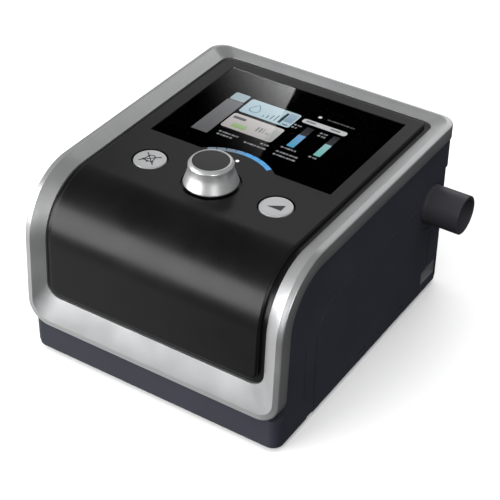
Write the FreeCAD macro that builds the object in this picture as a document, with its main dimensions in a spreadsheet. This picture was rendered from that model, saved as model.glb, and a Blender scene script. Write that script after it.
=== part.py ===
"""Compact bedside ventilator: parametric document with one object per physical piece.

Case coordinates: X to the right seen from the front, Y towards the back, Z up, with the case's
mid-plane at X = 0, its mid-depth at Y = 0 and the underside of the bottom pan at Z = 0. Every piece
then gets the same Placement, which brings the origin to the middle of the footprint at table level.
"""
import FreeCAD, Part
import math
import os
import Sketcher

V = FreeCAD.Vector
doc = FreeCAD.newDocument("ventilator")
sheet = doc.addObject("Spreadsheet::Sheet", "Sheet")
pieces = []


# ---------------------------------------------------------------- sizes bound to the sheet

class Size:
    """A length together with the sheet expression that gives it."""

    def __init__(self, value, text):
        self.value = value
        self.text = text

    def __add__(self, other):
        other = as_size(other)
        return Size(self.value + other.value, f"({self.text} + {other.text})")

    def __sub__(self, other):
        other = as_size(other)
        return Size(self.value - other.value, f"({self.text} - {other.text})")

    def __mul__(self, other):
        other = as_size(other)
        return Size(self.value * other.value, f"({self.text} * {other.text})")

    def __truediv__(self, other):
        other = as_size(other)
        return Size(self.value / other.value, f"({self.text} / {other.text})")

    def __neg__(self):
        return Size(-self.value, f"(-1 * {self.text})")

    def __radd__(self, other):
        return as_size(other) + self

    def __rsub__(self, other):
        return as_size(other) - self

    def __rmul__(self, other):
        return as_size(other) * self


def as_size(number):
    """A plain number as a Size."""
    return number if isinstance(number, Size) else Size(float(number), f"({float(number)!r})")


def sine(angle):
    """Sine of an angle in degrees."""
    return Size(math.sin(math.radians(angle.value)), f"sin({angle.text})")


def cosine(angle):
    """Cosine of an angle in degrees."""
    return Size(math.cos(math.radians(angle.value)), f"cos({angle.text})")


def root(area):
    """Square root of an area."""
    return Size(math.sqrt(area.value), f"sqrt({area.text})")


def dimension(alias, number):
    """A driving dimension: one row of the sheet, its name in column A and its value in column B."""
    row = dimension.row = getattr(dimension, "row", 0) + 1
    sheet.set(f"A{row}", alias)
    sheet.set(f"B{row}", str(number))
    sheet.setAlias(f"B{row}", alias)
    return Size(float(number), f"Sheet.{alias}")


# Case
case_width = dimension("case_width", 155)
case_depth = dimension("case_depth", 180)
case_height = dimension("case_height", 103)
crown_radius = dimension("crown_radius", 36.4)
crown_inset = dimension("crown_inset", 39.06)
face_lean = dimension("face_lean", 3.2)
wall = dimension("wall", 2.5)
seam = dimension("seam", 0.1)
body_inset = dimension("body_inset", 1.2)
back_inset = dimension("back_inset", 3.7)
front_inset = dimension("front_inset", 3)
pan_thick = dimension("pan_thick", 3)
foot_height = dimension("foot_height", 2.5)
# Bezel and front panel, as depths below the outer skin of the bezel
bezel_foot = dimension("bezel_foot", 18.8)
bezel_deep = dimension("bezel_deep", 8.5)
rail_side = dimension("rail_side", 10.8)
rail_back = dimension("rail_back", 6.5)
opening_foot = dimension("opening_foot", 36.6)
slope_width = dimension("slope_width", 3.2)
panel_depth = dimension("panel_depth", 2)
flange_depth = dimension("flange_depth", 4.4)
panel_back_depth = dimension("panel_back_depth", 5)
panel_border = dimension("panel_border", 2.8)
chassis_thick = dimension("chassis_thick", 2)
# Display
window_wide = dimension("window_wide", 110)
window_front = dimension("window_front", -7)
window_back = dimension("window_back", 72)
window_thick = dimension("window_thick", 2)
# Controls
knob_y = dimension("knob_y", -31.3)
knob_radius = dimension("knob_radius", 14.1)
knob_top_radius = dimension("knob_top_radius", 11.7)
knob_height = dimension("knob_height", 13.4)
knob_disc_radius = dimension("knob_disc_radius", 9.6)
dial_radius = dimension("dial_radius", 30.2)
dial_band = dimension("dial_band", 2.7)
dial_first = dimension("dial_first", 55)
dial_span = dimension("dial_span", 73)
dial_gap = dimension("dial_gap", 1)
index_reach = dimension("index_reach", 23.9)
button_x = dimension("button_x", 38.2)
button_y = dimension("button_y", -30.8)
button_radius = dimension("button_radius", 8.7)
button_travel = dimension("button_travel", 0.8)
shaft_radius = dimension("shaft_radius", 3)
# Air path
outlet_y = dimension("outlet_y", 67.4)
outlet_z = dimension("outlet_z", 61)
outlet_reach = dimension("outlet_reach", 19.5)
outlet_radius = dimension("outlet_radius", 11)
outlet_bore = dimension("outlet_bore", 9.2)
duct_radius = dimension("duct_radius", 10.5)
duct_long = dimension("duct_long", 46)
blower_x = dimension("blower_x", -12)
blower_y = dimension("blower_y", 42)
volute_radius = dimension("volute_radius", 33)
volute_foot = dimension("volute_foot", 49.5)
volute_tall = dimension("volute_tall", 23)
impeller_radius = dimension("impeller_radius", 25)
motor_radius = dimension("motor_radius", 20.5)
motor_foot = dimension("motor_foot", 25)
motor_shaft_radius = dimension("motor_shaft_radius", 2)
box_left = dimension("box_left", -56)
box_right = dimension("box_right", 40)
box_front = dimension("box_front", 1)
box_back = dimension("box_back", 82)
box_top = dimension("box_top", 84)
# Filter on the left side
filter_front = dimension("filter_front", 16)
filter_back = dimension("filter_back", 64)
filter_foot = dimension("filter_foot", 18)
filter_top = dimension("filter_top", 62)
# Boards
board_thick = dimension("board_thick", 1.6)
board_foot = dimension("board_foot", 8)
interface_drop = dimension("interface_drop", 16.6)
# Memory card
card_front = dimension("card_front", -78)
card_wide = dimension("card_wide", 24)
card_long = dimension("card_long", 32)
card_thick = dimension("card_thick", 2.1)
card_foot = dimension("card_foot", 11.6)
jack_x = dimension("jack_x", 52)
# Docking side
dock_front = dimension("dock_front", -52)
dock_back = dimension("dock_back", 68.5)
dock_top = dimension("dock_top", 66)
dock_corner = dimension("dock_corner", 18)
dock_plate_thick = dimension("dock_plate_thick", 1.5)
connector_front = dimension("connector_front", 63)
connector_back = dimension("connector_back", 81.2)
connector_foot = dimension("connector_foot", 5.4)
connector_top = dimension("connector_top", 16)

half_width = case_width / 2
half_depth = case_depth / 2
crown_back = crown_inset - half_depth
body_front = front_inset - half_depth
body_back = half_depth - back_inset
body_half = half_width - body_inset
inner_half = body_half - wall
panel_top = case_height - panel_depth
interface_foot = case_height - interface_drop
interface_top = interface_foot + board_thick
board_top = board_foot + board_thick
half_window = window_wide / 2
outlet_end = half_width + outlet_reach
jack_z = board_foot + 8
filter_hinge_x = -body_half + 1.1
filter_hinge_z = filter_foot + 2.1
origin_x = -outlet_reach / 2
doc.recompute()


# ---------------------------------------------------------------- building helpers

def bind(thing, prop, size):
    """Bind one property of an object to the sheet."""
    thing.setExpression(prop, as_size(size).text)


def piece(thing, label):
    """Register a finished sub-part: its label, and the placement that all pieces share.

    A piece that isn't a body goes into a group first, so that the shared placement comes on top of its own.
    """
    if thing.TypeId not in ("PartDesign::Body", "Part::Compound"):
        thing = group([thing])
    thing.Label = label
    bind(thing, "Placement.Base.x", origin_x)
    bind(thing, "Placement.Base.z", foot_height)
    pieces.append(thing)
    return thing


def box(x_range, y_range, z_range):
    """Block between two values on each axis."""
    block = doc.addObject("Part::Box", "block")
    spans = (("Length", "x", x_range), ("Width", "y", y_range), ("Height", "z", z_range))
    for side, axis, (low, high) in spans:
        bind(block, side, as_size(high) - low)
        bind(block, f"Placement.Base.{axis}", low)
    return block


TURN = {
    "x": FreeCAD.Rotation(V(0, 1, 0), 90),
    "y": FreeCAD.Rotation(V(1, 0, 0), -90),
    "z": FreeCAD.Rotation(),
}


def place(solid, axis, start):
    """Stand a turned primitive on a point, its own Z along the named axis."""
    solid.Placement = FreeCAD.Placement(V(0, 0, 0), TURN[axis])
    for name, value in zip("xyz", start):
        bind(solid, f"Placement.Base.{name}", value)
    return solid


def rod(axis, start, radius, length):
    """Cylinder from a start point along an axis."""
    solid = doc.addObject("Part::Cylinder", "rod")
    bind(solid, "Radius", radius)
    bind(solid, "Height", length)
    return place(solid, axis, start)


def taper(axis, start, radius_start, radius_end, length):
    """Cone frustum from a start point along an axis."""
    solid = doc.addObject("Part::Cone", "taper")
    bind(solid, "Radius1", radius_start)
    bind(solid, "Radius2", radius_end)
    bind(solid, "Height", length)
    return place(solid, axis, start)


def funnel(x_range, inner, outer):
    """Four-sided funnel along X; inner and outer are the (y, z) ranges of its two ends."""
    solid = doc.addObject("Part::Wedge", "funnel")
    solid.Placement = FreeCAD.Placement(V(0, 0, 0), FreeCAD.Rotation(V(0, 0, 1), -90))
    bind(solid, "Ymin", x_range[0])
    bind(solid, "Ymax", x_range[1])
    for number, (y_range, z_range) in (("", inner), ("2", outer)):
        bind(solid, f"X{number}min", -y_range[1])
        bind(solid, f"X{number}max", -y_range[0])
        bind(solid, f"Z{number}min", z_range[0])
        bind(solid, f"Z{number}max", z_range[1])
    return solid


def joined(*solids):
    """One solid out of overlapping ones."""
    if len(solids) == 1:
        return solids[0]
    fusion = doc.addObject("Part::MultiFuse", "joined")
    fusion.Shapes = list(solids)
    fusion.Refine = True
    return fusion


def without(base, *tools):
    """The base with the tools cut away."""
    result = doc.addObject("Part::Cut", "without")
    result.Base = base
    result.Tool = joined(*tools)
    result.Refine = True
    return result


def shared(one, other):
    """What two solids have in common."""
    result = doc.addObject("Part::Common", "shared")
    result.Base = one
    result.Tool = other
    result.Refine = True
    return result


def group(solids):
    """Identical solids kept apart in one object."""
    result = doc.addObject("Part::Compound", "group")
    result.Links = list(solids)
    return result


def tube(axis, start, outer, inner, length):
    """Hollow cylinder."""
    return without(rod(axis, start, outer, length), rod(axis, start, inner, length))


def new_body(name):
    """An empty body."""
    return doc.addObject("PartDesign::Body", name)


def sketch_on(body, role, name, offset=None):
    """A sketch on one of the body's origin planes, lifted along the plane's normal."""
    plane = next(item for item in body.Origin.OriginFeatures if item.Role == role)
    sketch = body.newObject("Sketcher::SketchObject", name)
    sketch.AttachmentSupport = [(plane, "")]
    sketch.MapMode = "FlatFace"
    if offset is not None:
        bind(sketch, "AttachmentOffset.Base.z", offset)
    return sketch


def fix(sketch, kind, name, size, *where):
    """A named dimension in a sketch, driven by the sheet."""
    number = sketch.addConstraint(Sketcher.Constraint(kind, *where, size.value))
    sketch.renameConstraint(number, name)
    sketch.setExpression(f"Constraints.{name}", size.text)


def outline(sketch, corners, arcs=None):
    """Closed outline; arcs maps a corner's place in the list to the (radius, centre) that follows it."""
    arcs = arcs or {}
    corners = [(as_size(u), as_size(v)) for u, v in corners]
    points = [V(u.value, v.value, 0) for u, v in corners]
    ends = []
    for place_in_list, here in enumerate(points):
        there = points[(place_in_list + 1) % len(points)]
        if place_in_list not in arcs:
            geometry = sketch.addGeometry(Part.LineSegment(here, there))
            ends.append((geometry, 1, 2))
            continue
        radius, (centre_u, centre_v) = arcs[place_in_list]
        centre = V(as_size(centre_u).value, as_size(centre_v).value, 0)
        start, stop = (math.atan2(p.y - centre.y, p.x - centre.x) for p in (here, there))
        forward = (stop - start) % (2 * math.pi) < math.pi
        if not forward:
            start, stop = stop, start
        circle = Part.Circle(centre, V(0, 0, 1), radius.value)
        geometry = sketch.addGeometry(Part.ArcOfCircle(circle, start, stop))
        ends.append((geometry, 1, 2) if forward else (geometry, 2, 1))
        fix(sketch, "Radius", f"radius_{place_in_list}", radius, geometry)
    for place_in_list, (geometry, first, last) in enumerate(ends):
        following = ends[(place_in_list + 1) % len(ends)]
        sketch.addConstraint(Sketcher.Constraint("Coincident", geometry, last, following[0], following[1]))
        u, v = corners[place_in_list]
        fix(sketch, "DistanceX", f"across_{place_in_list}", u, -1, 1, geometry, first)
        fix(sketch, "DistanceY", f"up_{place_in_list}", v, -1, 1, geometry, first)
    return sketch


def ring_in(sketch, centre, radius, name):
    """A full circle in a sketch."""
    u, v = (as_size(value) for value in centre)
    circle = Part.Circle(V(u.value, v.value, 0), V(0, 0, 1), as_size(radius).value)
    geometry = sketch.addGeometry(circle)
    fix(sketch, "DistanceX", f"{name}_across", u, -1, 1, geometry, 3)
    fix(sketch, "DistanceY", f"{name}_up", v, -1, 1, geometry, 3)
    fix(sketch, "Radius", f"{name}_radius", as_size(radius), geometry)


def rectangle(x_low, x_high, y_low, y_high):
    """Corners of a rectangle."""
    return [(x_low, y_low), (x_high, y_low), (x_high, y_high), (x_low, y_high)]


def extrude(body, kind, sketch, length, both_ways=False, back=False):
    """A Pad or a Pocket of a sketch; a pocket must take something away."""
    feature = body.newObject(f"PartDesign::{kind}", kind.lower())
    feature.Profile = sketch
    feature.Midplane = both_ways
    feature.Reversed = back
    bind(feature, "Length", length)
    before = body.Shape.Volume if kind == "Pocket" else 0
    doc.recompute()
    if kind == "Pocket" and feature.Shape.Volume > before - 0.01:
        raise RuntimeError(f"{body.Name}: {sketch.Name} cuts nothing")
    return feature


def turned(body, sketch, axis_name):
    """A full turn of a half-section about one of the sketch's axes."""
    feature = body.newObject("PartDesign::Revolution", "turned")
    feature.Profile = sketch
    feature.ReferenceAxis = (sketch, [axis_name])
    feature.Angle = 360
    doc.recompute()
    return feature


def soften(body, feature, kind, size, chosen):
    """Fillet or chamfer of the edges that the test picks."""
    names = [f"Edge{i + 1}" for i, edge in enumerate(feature.Shape.Edges) if chosen(edge)]
    if not names:
        raise RuntimeError(f"{body.Name}: no edge to {kind}")
    finish = body.newObject(f"PartDesign::{kind}", kind.lower())
    finish.Base = (feature, names)
    bind(finish, "Radius" if kind == "Fillet" else "Size", size)
    doc.recompute()
    return finish


def upright_at(x_size, y_test):
    """Test for straight edges along Z on both flanks."""
    def chosen(edge):
        spot = edge.CenterOfMass
        box_of = edge.BoundBox
        upright = box_of.XLength < 0.01 and box_of.YLength < 0.01 and box_of.ZLength > 0.5
        return upright and abs(abs(spot.x) - x_size.value) < 0.05 and y_test(spot.y)
    return chosen


# ---------------------------------------------------------------- the bent skin

crown_z = case_height - crown_radius


def face_y(depth, height):
    """Y of the leaning front face, at a depth below the skin and a height."""
    reach = (crown_radius - depth) * cosine(face_lean)
    drop = crown_z + (crown_radius - depth) * sine(face_lean) - height
    return crown_back - reach - drop * sine(face_lean) / cosine(face_lean)


def bent_corners(outer, inner, back, foot):
    """Side view of a bent sheet between two depths: flat top, crown, leaning face."""
    def tangent(depth):
        reach = crown_radius - depth
        return (crown_back - reach * cosine(face_lean), crown_z + reach * sine(face_lean))

    corners = [
        (back, case_height - outer),
        (crown_back, case_height - outer),
        tangent(outer),
        (face_y(outer, foot), foot),
        (face_y(inner, foot), foot),
        tangent(inner),
        (crown_back, case_height - inner),
        (back, case_height - inner),
    ]
    centre = (crown_back, crown_z)
    arcs = {1: (crown_radius - outer, centre), 5: (crown_radius - inner, centre)}
    return corners, arcs


def bent(body, kind, name, outer, inner, back, foot, half):
    """Bent sheet as a pad or pocket, centred on the mid-plane."""
    sketch = sketch_on(body, "YZ_Plane", name)
    corners, arcs = bent_corners(as_size(outer), as_size(inner), back, foot)
    outline(sketch, corners, arcs)
    return extrude(body, kind, sketch, 2 * half, both_ways=True)


def near_foot(x_size, z_size):
    """Test for the short edges where a flank meets the lower end of a bent sheet."""
    def chosen(edge):
        spot = edge.CenterOfMass
        across = edge.BoundBox.XLength < 0.01 and edge.BoundBox.ZLength < 0.5
        return across and abs(abs(spot.x) - x_size.value) < 0.05 and abs(spot.z - z_size.value) < 0.3
    return chosen


# ---------------------------------------------------------------- case

column_places = [(-69, -44), (69, -44), (-69, 76), (69, 44)]
connector_room = ((connector_front, connector_back), (connector_foot, connector_top))
groove_y = -62
brow_deep = 27
foot_places = [(-60, -70), (60, -70), (-60, 70), (60, 70)]


def make_bottom_pan():
    """Bottom pan with an upstand that locates inside the housing, screw holes and buzzer slots."""
    body = new_body("bottom_pan_body")
    plate = sketch_on(body, "XY_Plane", "pan_outline")
    outline(plate, rectangle(-body_half, body_half, body_front, body_back))
    pad = extrude(body, "Pad", plate, pan_thick)
    rounded = soften(body, pad, "Fillet", as_size(6), upright_at(body_half, lambda y: True))
    soften(body, rounded, "Chamfer", as_size(0.8), lambda edge: abs(edge.BoundBox.ZMax) < 0.01)
    play = as_size(0.3)
    upstand = sketch_on(body, "XY_Plane", "upstand", pan_thick)
    outer = inner_half - play
    outline(upstand, rectangle(-outer, outer, body_front + wall + play, body_back - wall - play))
    extrude(body, "Pad", upstand, as_size(2.5))
    hollow = sketch_on(body, "XY_Plane", "upstand_inside", pan_thick + 2.5)
    rim = as_size(1.5)
    inner = outer - rim
    outline(hollow, rectangle(-inner, inner, body_front + wall + play + rim, body_back - wall - play - rim))
    extrude(body, "Pocket", hollow, as_size(2.5))
    holes = sketch_on(body, "XY_Plane", "screw_holes", pan_thick + 3)
    for number, (x, y) in enumerate(column_places):
        ring_in(holes, (x, y), 1.7, f"screw_{number}")
    extrude(body, "Pocket", holes, as_size(8))
    sinks = sketch_on(body, "XY_Plane", "screw_sinks", as_size(1.6))
    for number, (x, y) in enumerate(column_places):
        ring_in(sinks, (x, y), 3.3, f"sink_{number}")
    extrude(body, "Pocket", sinks, as_size(4))
    slots = [box((-32, -18), (y, y + 1.4), (-1, 5)) for y in (-64, -61, -58, -55, -52)]
    notch = box((body_half - 1.6, body_half + 1), (-58.5, -52.5), (-1, 1.8))
    clear = [rod("z", (x, y, pan_thick), 4.5, 4) for x, y in column_places]
    clear += [box((x - 6, x + 6), (y - 1.4, y + 1.4), (pan_thick, pan_thick + 4)) for x, y in column_places]
    posts = [rod("z", (x, y, pan_thick - 0.5), 3, board_foot - pan_thick + 0.5)
             for x, y in board_posts + power_holes]
    screws = [rod("z", (x, y, pan_thick), 1.1, 8) for x, y in board_posts + power_holes]
    piece(without(joined(body, *posts), *slots, notch, *clear, *screws), "bottom_pan")


board_posts = [(-30, -74), (58, -74), (-58, -18), (58, -18)]
power_holes = [(53, 53.5), (60.8, 79)]


def make_housing():
    """Side, back and lower front walls in one moulding, with screw columns and the wall openings."""
    body = new_body("housing_body")
    lip = bezel_deep + seam
    corners, arcs = bent_corners(lip, lip + wall, body_back, bezel_foot - seam)
    front_step = [(body_front, bezel_foot - seam), (body_front, pan_thick), (body_back, pan_thick)]
    side = sketch_on(body, "YZ_Plane", "side_view")
    outline(side, corners[:4] + front_step, {1: arcs[1]})
    pad = extrude(body, "Pad", side, 2 * body_half, both_ways=True)
    corner = soften(body, pad, "Fillet", as_size(5), upright_at(body_half, lambda y: True))
    brow = sketch_on(body, "XY_Plane", "brow_outline", case_height - brow_deep)
    outline(brow, rectangle(-body_half, body_half, body_back - 12, body_back + 1.9))
    step = extrude(body, "Pad", brow, brow_deep - lip)
    soften(body, step, "Fillet", as_size(5), upright_at(body_half, lambda y: y > body_back.value + 1))
    ledge = bezel_foot - seam - wall
    lip_top = as_size(34)
    inside = sketch_on(body, "YZ_Plane", "inside")
    outline(inside, [
        (body_front + wall, pan_thick - 1),
        (body_front + wall, ledge),
        (face_y(lip + wall, ledge), ledge),
        (face_y(lip + wall, lip_top), lip_top),
        (body_front - 10, lip_top),
        (body_front - 10, case_height + 5),
        (body_back - wall, case_height + 5),
        (body_back - wall, pan_thick - 1),
    ])
    extrude(body, "Pocket", inside, 2 * inner_half, both_ways=True)

    column_top = case_height - lip - chassis_thick - 0.1
    columns = []
    for x, y in column_places:
        edge = inner_half + 1
        flank = (-edge, as_size(x)) if x < 0 else (as_size(x), edge)
        columns.append(rod("z", (x, y, pan_thick), 4, column_top - pan_thick))
        columns.append(box(flank, (y - 1, y + 1), (pan_thick, column_top)))
    bores = [rod("z", (x, y, pan_thick - 1), 1.3, 14) for x, y in column_places]
    bores += [rod("z", (x, y, column_top - 10), 1.0, 12) for x, y in column_places]

    guide_rib = box((body_half - 1, body_half + 0.5), (dock_back + 0.8, dock_back + 1.8), (19.5, 41))
    dock_face = body_half - dock_plate_thick - 0.1
    dock_recess = dock_outline("dock_recess", dock_face, as_size(4), as_size(0))
    socket_hole = box((inner_half - 1, body_half), *connector_room)
    outlet_hole = rod("x", (inner_half - 1, outlet_y, outlet_z), outlet_radius + 0.6, wall + 3)
    gasket_seat = rod("x", (inner_half - 1, outlet_y, outlet_z), outlet_radius + 1.6, 2.6)
    groove = box((body_half - 0.3, body_half + 1), (groove_y - 0.35, groove_y + 0.35), (15.4, 48))
    groove_end = rod("x", (body_half - 0.3, groove_y, 15.4), 1, 2)
    card_hole = box((-body_half - 1, -inner_half + 1),
                    (card_front - 0.5, card_front + card_wide + 0.5),
                    (card_foot - 0.5, card_foot + card_thick + 0.5))
    middle = card_front + card_wide / 2
    thumb_scoop = rod("z", (-body_half - 6, middle, card_foot - 5), 9, 12)
    filter_hole = box((-body_half - 1, -inner_half + 1), (filter_front, filter_back),
                      (filter_foot, filter_top))
    peg_sockets = rod("y", (filter_hinge_x, filter_front - 1.5, filter_hinge_z), 0.82,
                      filter_back - filter_front + 3)
    jack_hole = rod("y", (jack_x, body_back - wall - 1, jack_z), 5.2, wall + 2)
    vents = [box((x, x + 1.8), (body_back - wall - 1, body_back + 1), (30, 46)) for x in range(44, 68, 4)]
    cutters = [dock_recess, socket_hole, outlet_hole, gasket_seat, groove, groove_end, card_hole,
               thumb_scoop, filter_hole, peg_sockets, jack_hole]
    result = without(joined(body, *columns, guide_rib), *cutters, *vents, *bores)
    piece(result, "main_housing")


def dock_outline(name, face, thick, margin):
    """Slab with the docking plate's outline: rounded at the top front, cut round the air outlet."""
    body = new_body(name)
    front = dock_front + margin
    back = dock_back - margin
    top = dock_top - margin
    foot = pan_thick + 0.4 + margin
    sketch = sketch_on(body, "YZ_Plane", f"{name}_outline", face)
    outline(sketch,
            [(front, foot), (back, foot), (back, top), (front + dock_corner, top),
             (front, top - dock_corner)],
            {3: (dock_corner, (front + dock_corner, top - dock_corner))})
    extrude(body, "Pad", sketch, thick)
    around = rod("x", (face - 1, outlet_y, outlet_z), outlet_radius + 4.2 + margin, thick + 2)
    return without(body, around)


def make_docking_side():
    """Docking plate let into the right wall, slightly proud of it, and the connector at the lower rear."""
    play = as_size(0.25)
    proud = 0.35
    plate = dock_outline("dock_plate_body", body_half - dock_plate_thick, dock_plate_thick + proud, play)
    window = box((body_half - 5, body_half + 1), *connector_room)
    hooks = [box((body_half - 5, body_half + 1), (y, y + 7), (5.2, 7.4)) for y in (-6, 9, 36)]
    piece(without(plate, window, *hooks), "dock_plate")

    room = [(low + 0.4, high - 0.4) for low, high in connector_room]
    block = box((body_half - 12, body_half - 0.6), *room)
    bore = [(low + 2.2, high - 2.2) for low, high in connector_room]
    cavity = box((body_half - 8, body_half - 3.9), *bore)
    mouth = funnel((body_half - 4, body_half), bore, [(low + 0.2, high - 0.2) for low, high in room])
    blades = [box((body_half - 11, body_half - 4.2), (y, y + 1.2), (9, 12.6)) for y in (67, 70, 73, 76)]
    piece(without(block, cavity, mouth, *blades), "dock_connector")
    piece(group(blades), "dock_contacts")


def make_bezel():
    """Bezel that runs from the top over the crown and down the face, open for the front panel."""
    body = new_body("bezel_body")
    shell = bent(body, "Pad", "bezel_side", 0, bezel_deep, half_depth, bezel_foot, half_width)
    back_round = soften(body, shell, "Fillet", as_size(9), upright_at(half_width, lambda y: y > 0))
    soften(body, back_round, "Fillet", as_size(13), near_foot(half_width, bezel_foot))
    opening_half = half_width - rail_side
    opening_back = half_depth - rail_back
    hole = bent(body, "Pocket", "opening", -1, bezel_deep + 1, opening_back, opening_foot, opening_half)
    corner = soften(body, hole, "Fillet", as_size(6), upright_at(opening_half, lambda y: y > 0))
    rounded = soften(body, corner, "Fillet", as_size(8), near_foot(opening_half, opening_foot))

    def on_rim(edge):
        spot = edge.CenterOfMass
        flat = edge.BoundBox.YLength < 0.01 and abs(spot.z - case_height.value) < 0.01
        return flat and abs(spot.y - opening_back.value) < 0.01
    slope = soften(body, rounded, "Chamfer", slope_width, on_rim)

    def on_skirt(edge):
        spot = edge.CenterOfMass
        flat = edge.BoundBox.YLength < 0.01 and abs(spot.z - case_height.value) < 0.01
        return flat and abs(spot.y - half_depth.value) < 0.01
    soften(body, slope, "Fillet", as_size(1.2), on_skirt)
    skin = 2.2
    outside = new_body("channel_outside")
    bent(outside, "Pad", "channel_outer", 4.8, bezel_deep + 1, half_depth - skin, bezel_foot + skin,
         half_width - skin)
    inside = new_body("channel_inside")
    bent(inside, "Pad", "channel_inner", 4, bezel_deep + 2, opening_back + 2.2, opening_foot - 3,
         opening_half + 2.6)
    piece(without(body, without(outside, inside)), "bezel_frame")


def make_front_panel():
    """Black bent panel: a raised pad with a flange round it, open for display, knob and buttons."""
    body = new_body("panel_body")
    play = as_size(0.3)
    opening_half = half_width - rail_side
    flange_half = opening_half - play
    flange_back = half_depth - rail_back - play
    flange_foot = opening_foot + play
    flange = bent(body, "Pad", "flange", flange_depth, bezel_deep, flange_back, flange_foot, flange_half)
    first = soften(body, flange, "Fillet", as_size(5.7), upright_at(flange_half, lambda y: y > 0))
    soften(body, first, "Fillet", as_size(7.7), near_foot(flange_half, flange_foot))
    rim = panel_border + 1.6
    bent(body, "Pocket", "hollow", panel_back_depth, bezel_deep + 1, flange_back - rim, flange_foot + rim,
         flange_half - rim)
    raised = new_body("panel_pad")
    pad_half = flange_half - panel_border
    pad_back = flange_back - panel_border
    pad_foot = flange_foot + panel_border
    slab = bent(raised, "Pad", "raised", panel_depth, flange_depth + 0.5, pad_back, pad_foot, pad_half)
    rounded = soften(raised, slab, "Fillet", as_size(4), upright_at(pad_half, lambda y: y > 0))
    last = soften(raised, rounded, "Fillet", as_size(6), near_foot(pad_half, pad_foot))

    def on_rim(edge):
        spot = edge.CenterOfMass
        flat = edge.BoundBox.YLength < 0.01 and abs(spot.z - panel_top.value) < 0.01
        return flat and abs(spot.y - pad_back.value) < 0.01
    soften(raised, last, "Fillet", as_size(1.2), on_rim)

    cuts = [window_slab("window_seat", as_size(0.2), panel_top - window_thick - 0.2, panel_top + 1)]
    cuts.append(window_slab("window_hole", as_size(-1.8), panel_top - 8, panel_top))
    cuts.append(dial_sector("dial_slot", as_size(0.1), panel_top - 8, panel_top + 1,
                            dial_first, dial_first + dial_span))
    cuts.append(rod("z", (0, knob_y, panel_top - 1.4), knob_radius + 1.5, 3))
    cuts.append(rod("z", (0, knob_y, panel_top - 8), 6, 9))
    cuts.append(rod("z", (0, knob_y + index_reach, panel_top - 8), 1.0, 9))
    for side in (-1, 1):
        cuts.append(rod("z", (side * button_x, button_y, panel_top - 8), button_radius + 0.9, 9))
        cuts.append(rod("z", (side * button_x, button_y, panel_top - 8), button_radius + 2.2, 4.2))
    piece(without(joined(body, raised), *cuts), "front_panel")


def window_slab(name, margin, low, high):
    """Slab with the display window's outline: a rectangle with a round bite that follows the dial."""
    body = new_body(name)
    side = window_wide / 2 + margin
    front = window_front - margin
    back = window_back + margin
    bite = dial_radius + dial_band + 0.2 - margin
    rise = front - knob_y
    half_bite = root(bite * bite - rise * rise)
    sketch = sketch_on(body, "XY_Plane", f"{name}_outline", low)
    crest = (as_size(0), knob_y + bite)
    corners = [(-side, front), (-half_bite, front), crest, (half_bite, front), (side, front),
               (side, back), (-side, back)]
    centre = (as_size(0), knob_y)
    outline(sketch, corners, {1: (bite, centre), 2: (bite, centre)})
    extrude(body, "Pad", sketch, high - low)
    return body


def dial_sector(name, margin, low, high, start, stop):
    """Ring segment concentric with the knob, between two angles from +X."""
    inner = dial_radius - margin
    outer = dial_radius + dial_band + margin
    body = new_body(name)
    sketch = sketch_on(body, "XY_Plane", f"{name}_outline", low)
    centre = (as_size(0), knob_y)

    def at(radius, angle):
        return (radius * cosine(angle), knob_y + radius * sine(angle))
    outline(sketch, [at(outer, start), at(outer, stop), at(inner, stop), at(inner, start)],
            {0: (outer, centre), 2: (inner, centre)})
    extrude(body, "Pad", sketch, high - low)
    return body


def make_display():
    """Window, dial light guide in segments, index light, display glass and backlight tray."""
    window = window_slab("window_body", as_size(0), panel_top - window_thick, panel_top - 0.1)
    piece(window, "display_window")
    segments = []
    count = 8
    step = dial_span / count
    for number in range(count):
        first = dial_first + number * step + dial_gap / 2
        segments.append(dial_sector(f"segment_{number}", as_size(0), panel_top - 4.2, panel_top,
                                    first, first + step - dial_gap))
    piece(group(segments), "dial_light_guide")
    piece(rod("z", (0, knob_y + index_reach, interface_top), 0.9,
              panel_top + 0.05 - interface_top), "index_light_pipe")
    glass_top = panel_top - window_thick - 0.3
    glass_half = half_window - 2.2
    piece(box((-glass_half, glass_half), (4, 69.8), (glass_top - 2, glass_top)), "display_glass")
    tray_foot = interface_top + 1.5
    tray_half = half_window - 0.5
    tray = box((-tray_half, tray_half), (1.2, 72.2), (tray_foot, glass_top - 2.1))
    tabs = [box((x, x + 6), (y, y + 3), (tray_foot - 1.5, tray_foot))
            for x in (5 - half_window, half_window - 11) for y in (4, 66)]
    piece(joined(tray, *tabs), "display_backlight")


def make_chassis():
    """Bent inner frame that the panel, the bezel and the interface board are fixed to."""
    body = new_body("chassis_body")
    top = bezel_deep + seam
    half = inner_half - 0.4
    bent(body, "Pad", "chassis_side", top, top + chassis_thick, body_back - wall - 0.3, as_size(37), half)
    opening = sketch_on(body, "XY_Plane", "chassis_opening", case_height - 40)
    opening_half = half_window + 1.5
    outline(opening, rectangle(-opening_half, opening_half, as_size(-46), as_size(75)))
    extrude(body, "Pocket", opening, as_size(60), back=True)
    under = case_height - top - chassis_thick
    drop = under - interface_top
    posts = [rod("z", (x, y, under - drop), 3, drop + 0.5) for x, y in interface_holes]
    bores = [rod("z", (x, y, under - drop - 1), 1.1, 6) for x, y in interface_holes]
    bores += [rod("z", (x, y, under - 5), 1.5, 12) for x, y in column_places]
    bores += [rod("z", (x, y, under + 0.5), 2.7, 4) for x, y in column_places]
    piece(without(joined(body, *posts), *bores), "panel_chassis")


interface_holes = [(-60, -42), (60, -42), (-60, 40), (60, 34)]


# ---------------------------------------------------------------- controls

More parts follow.
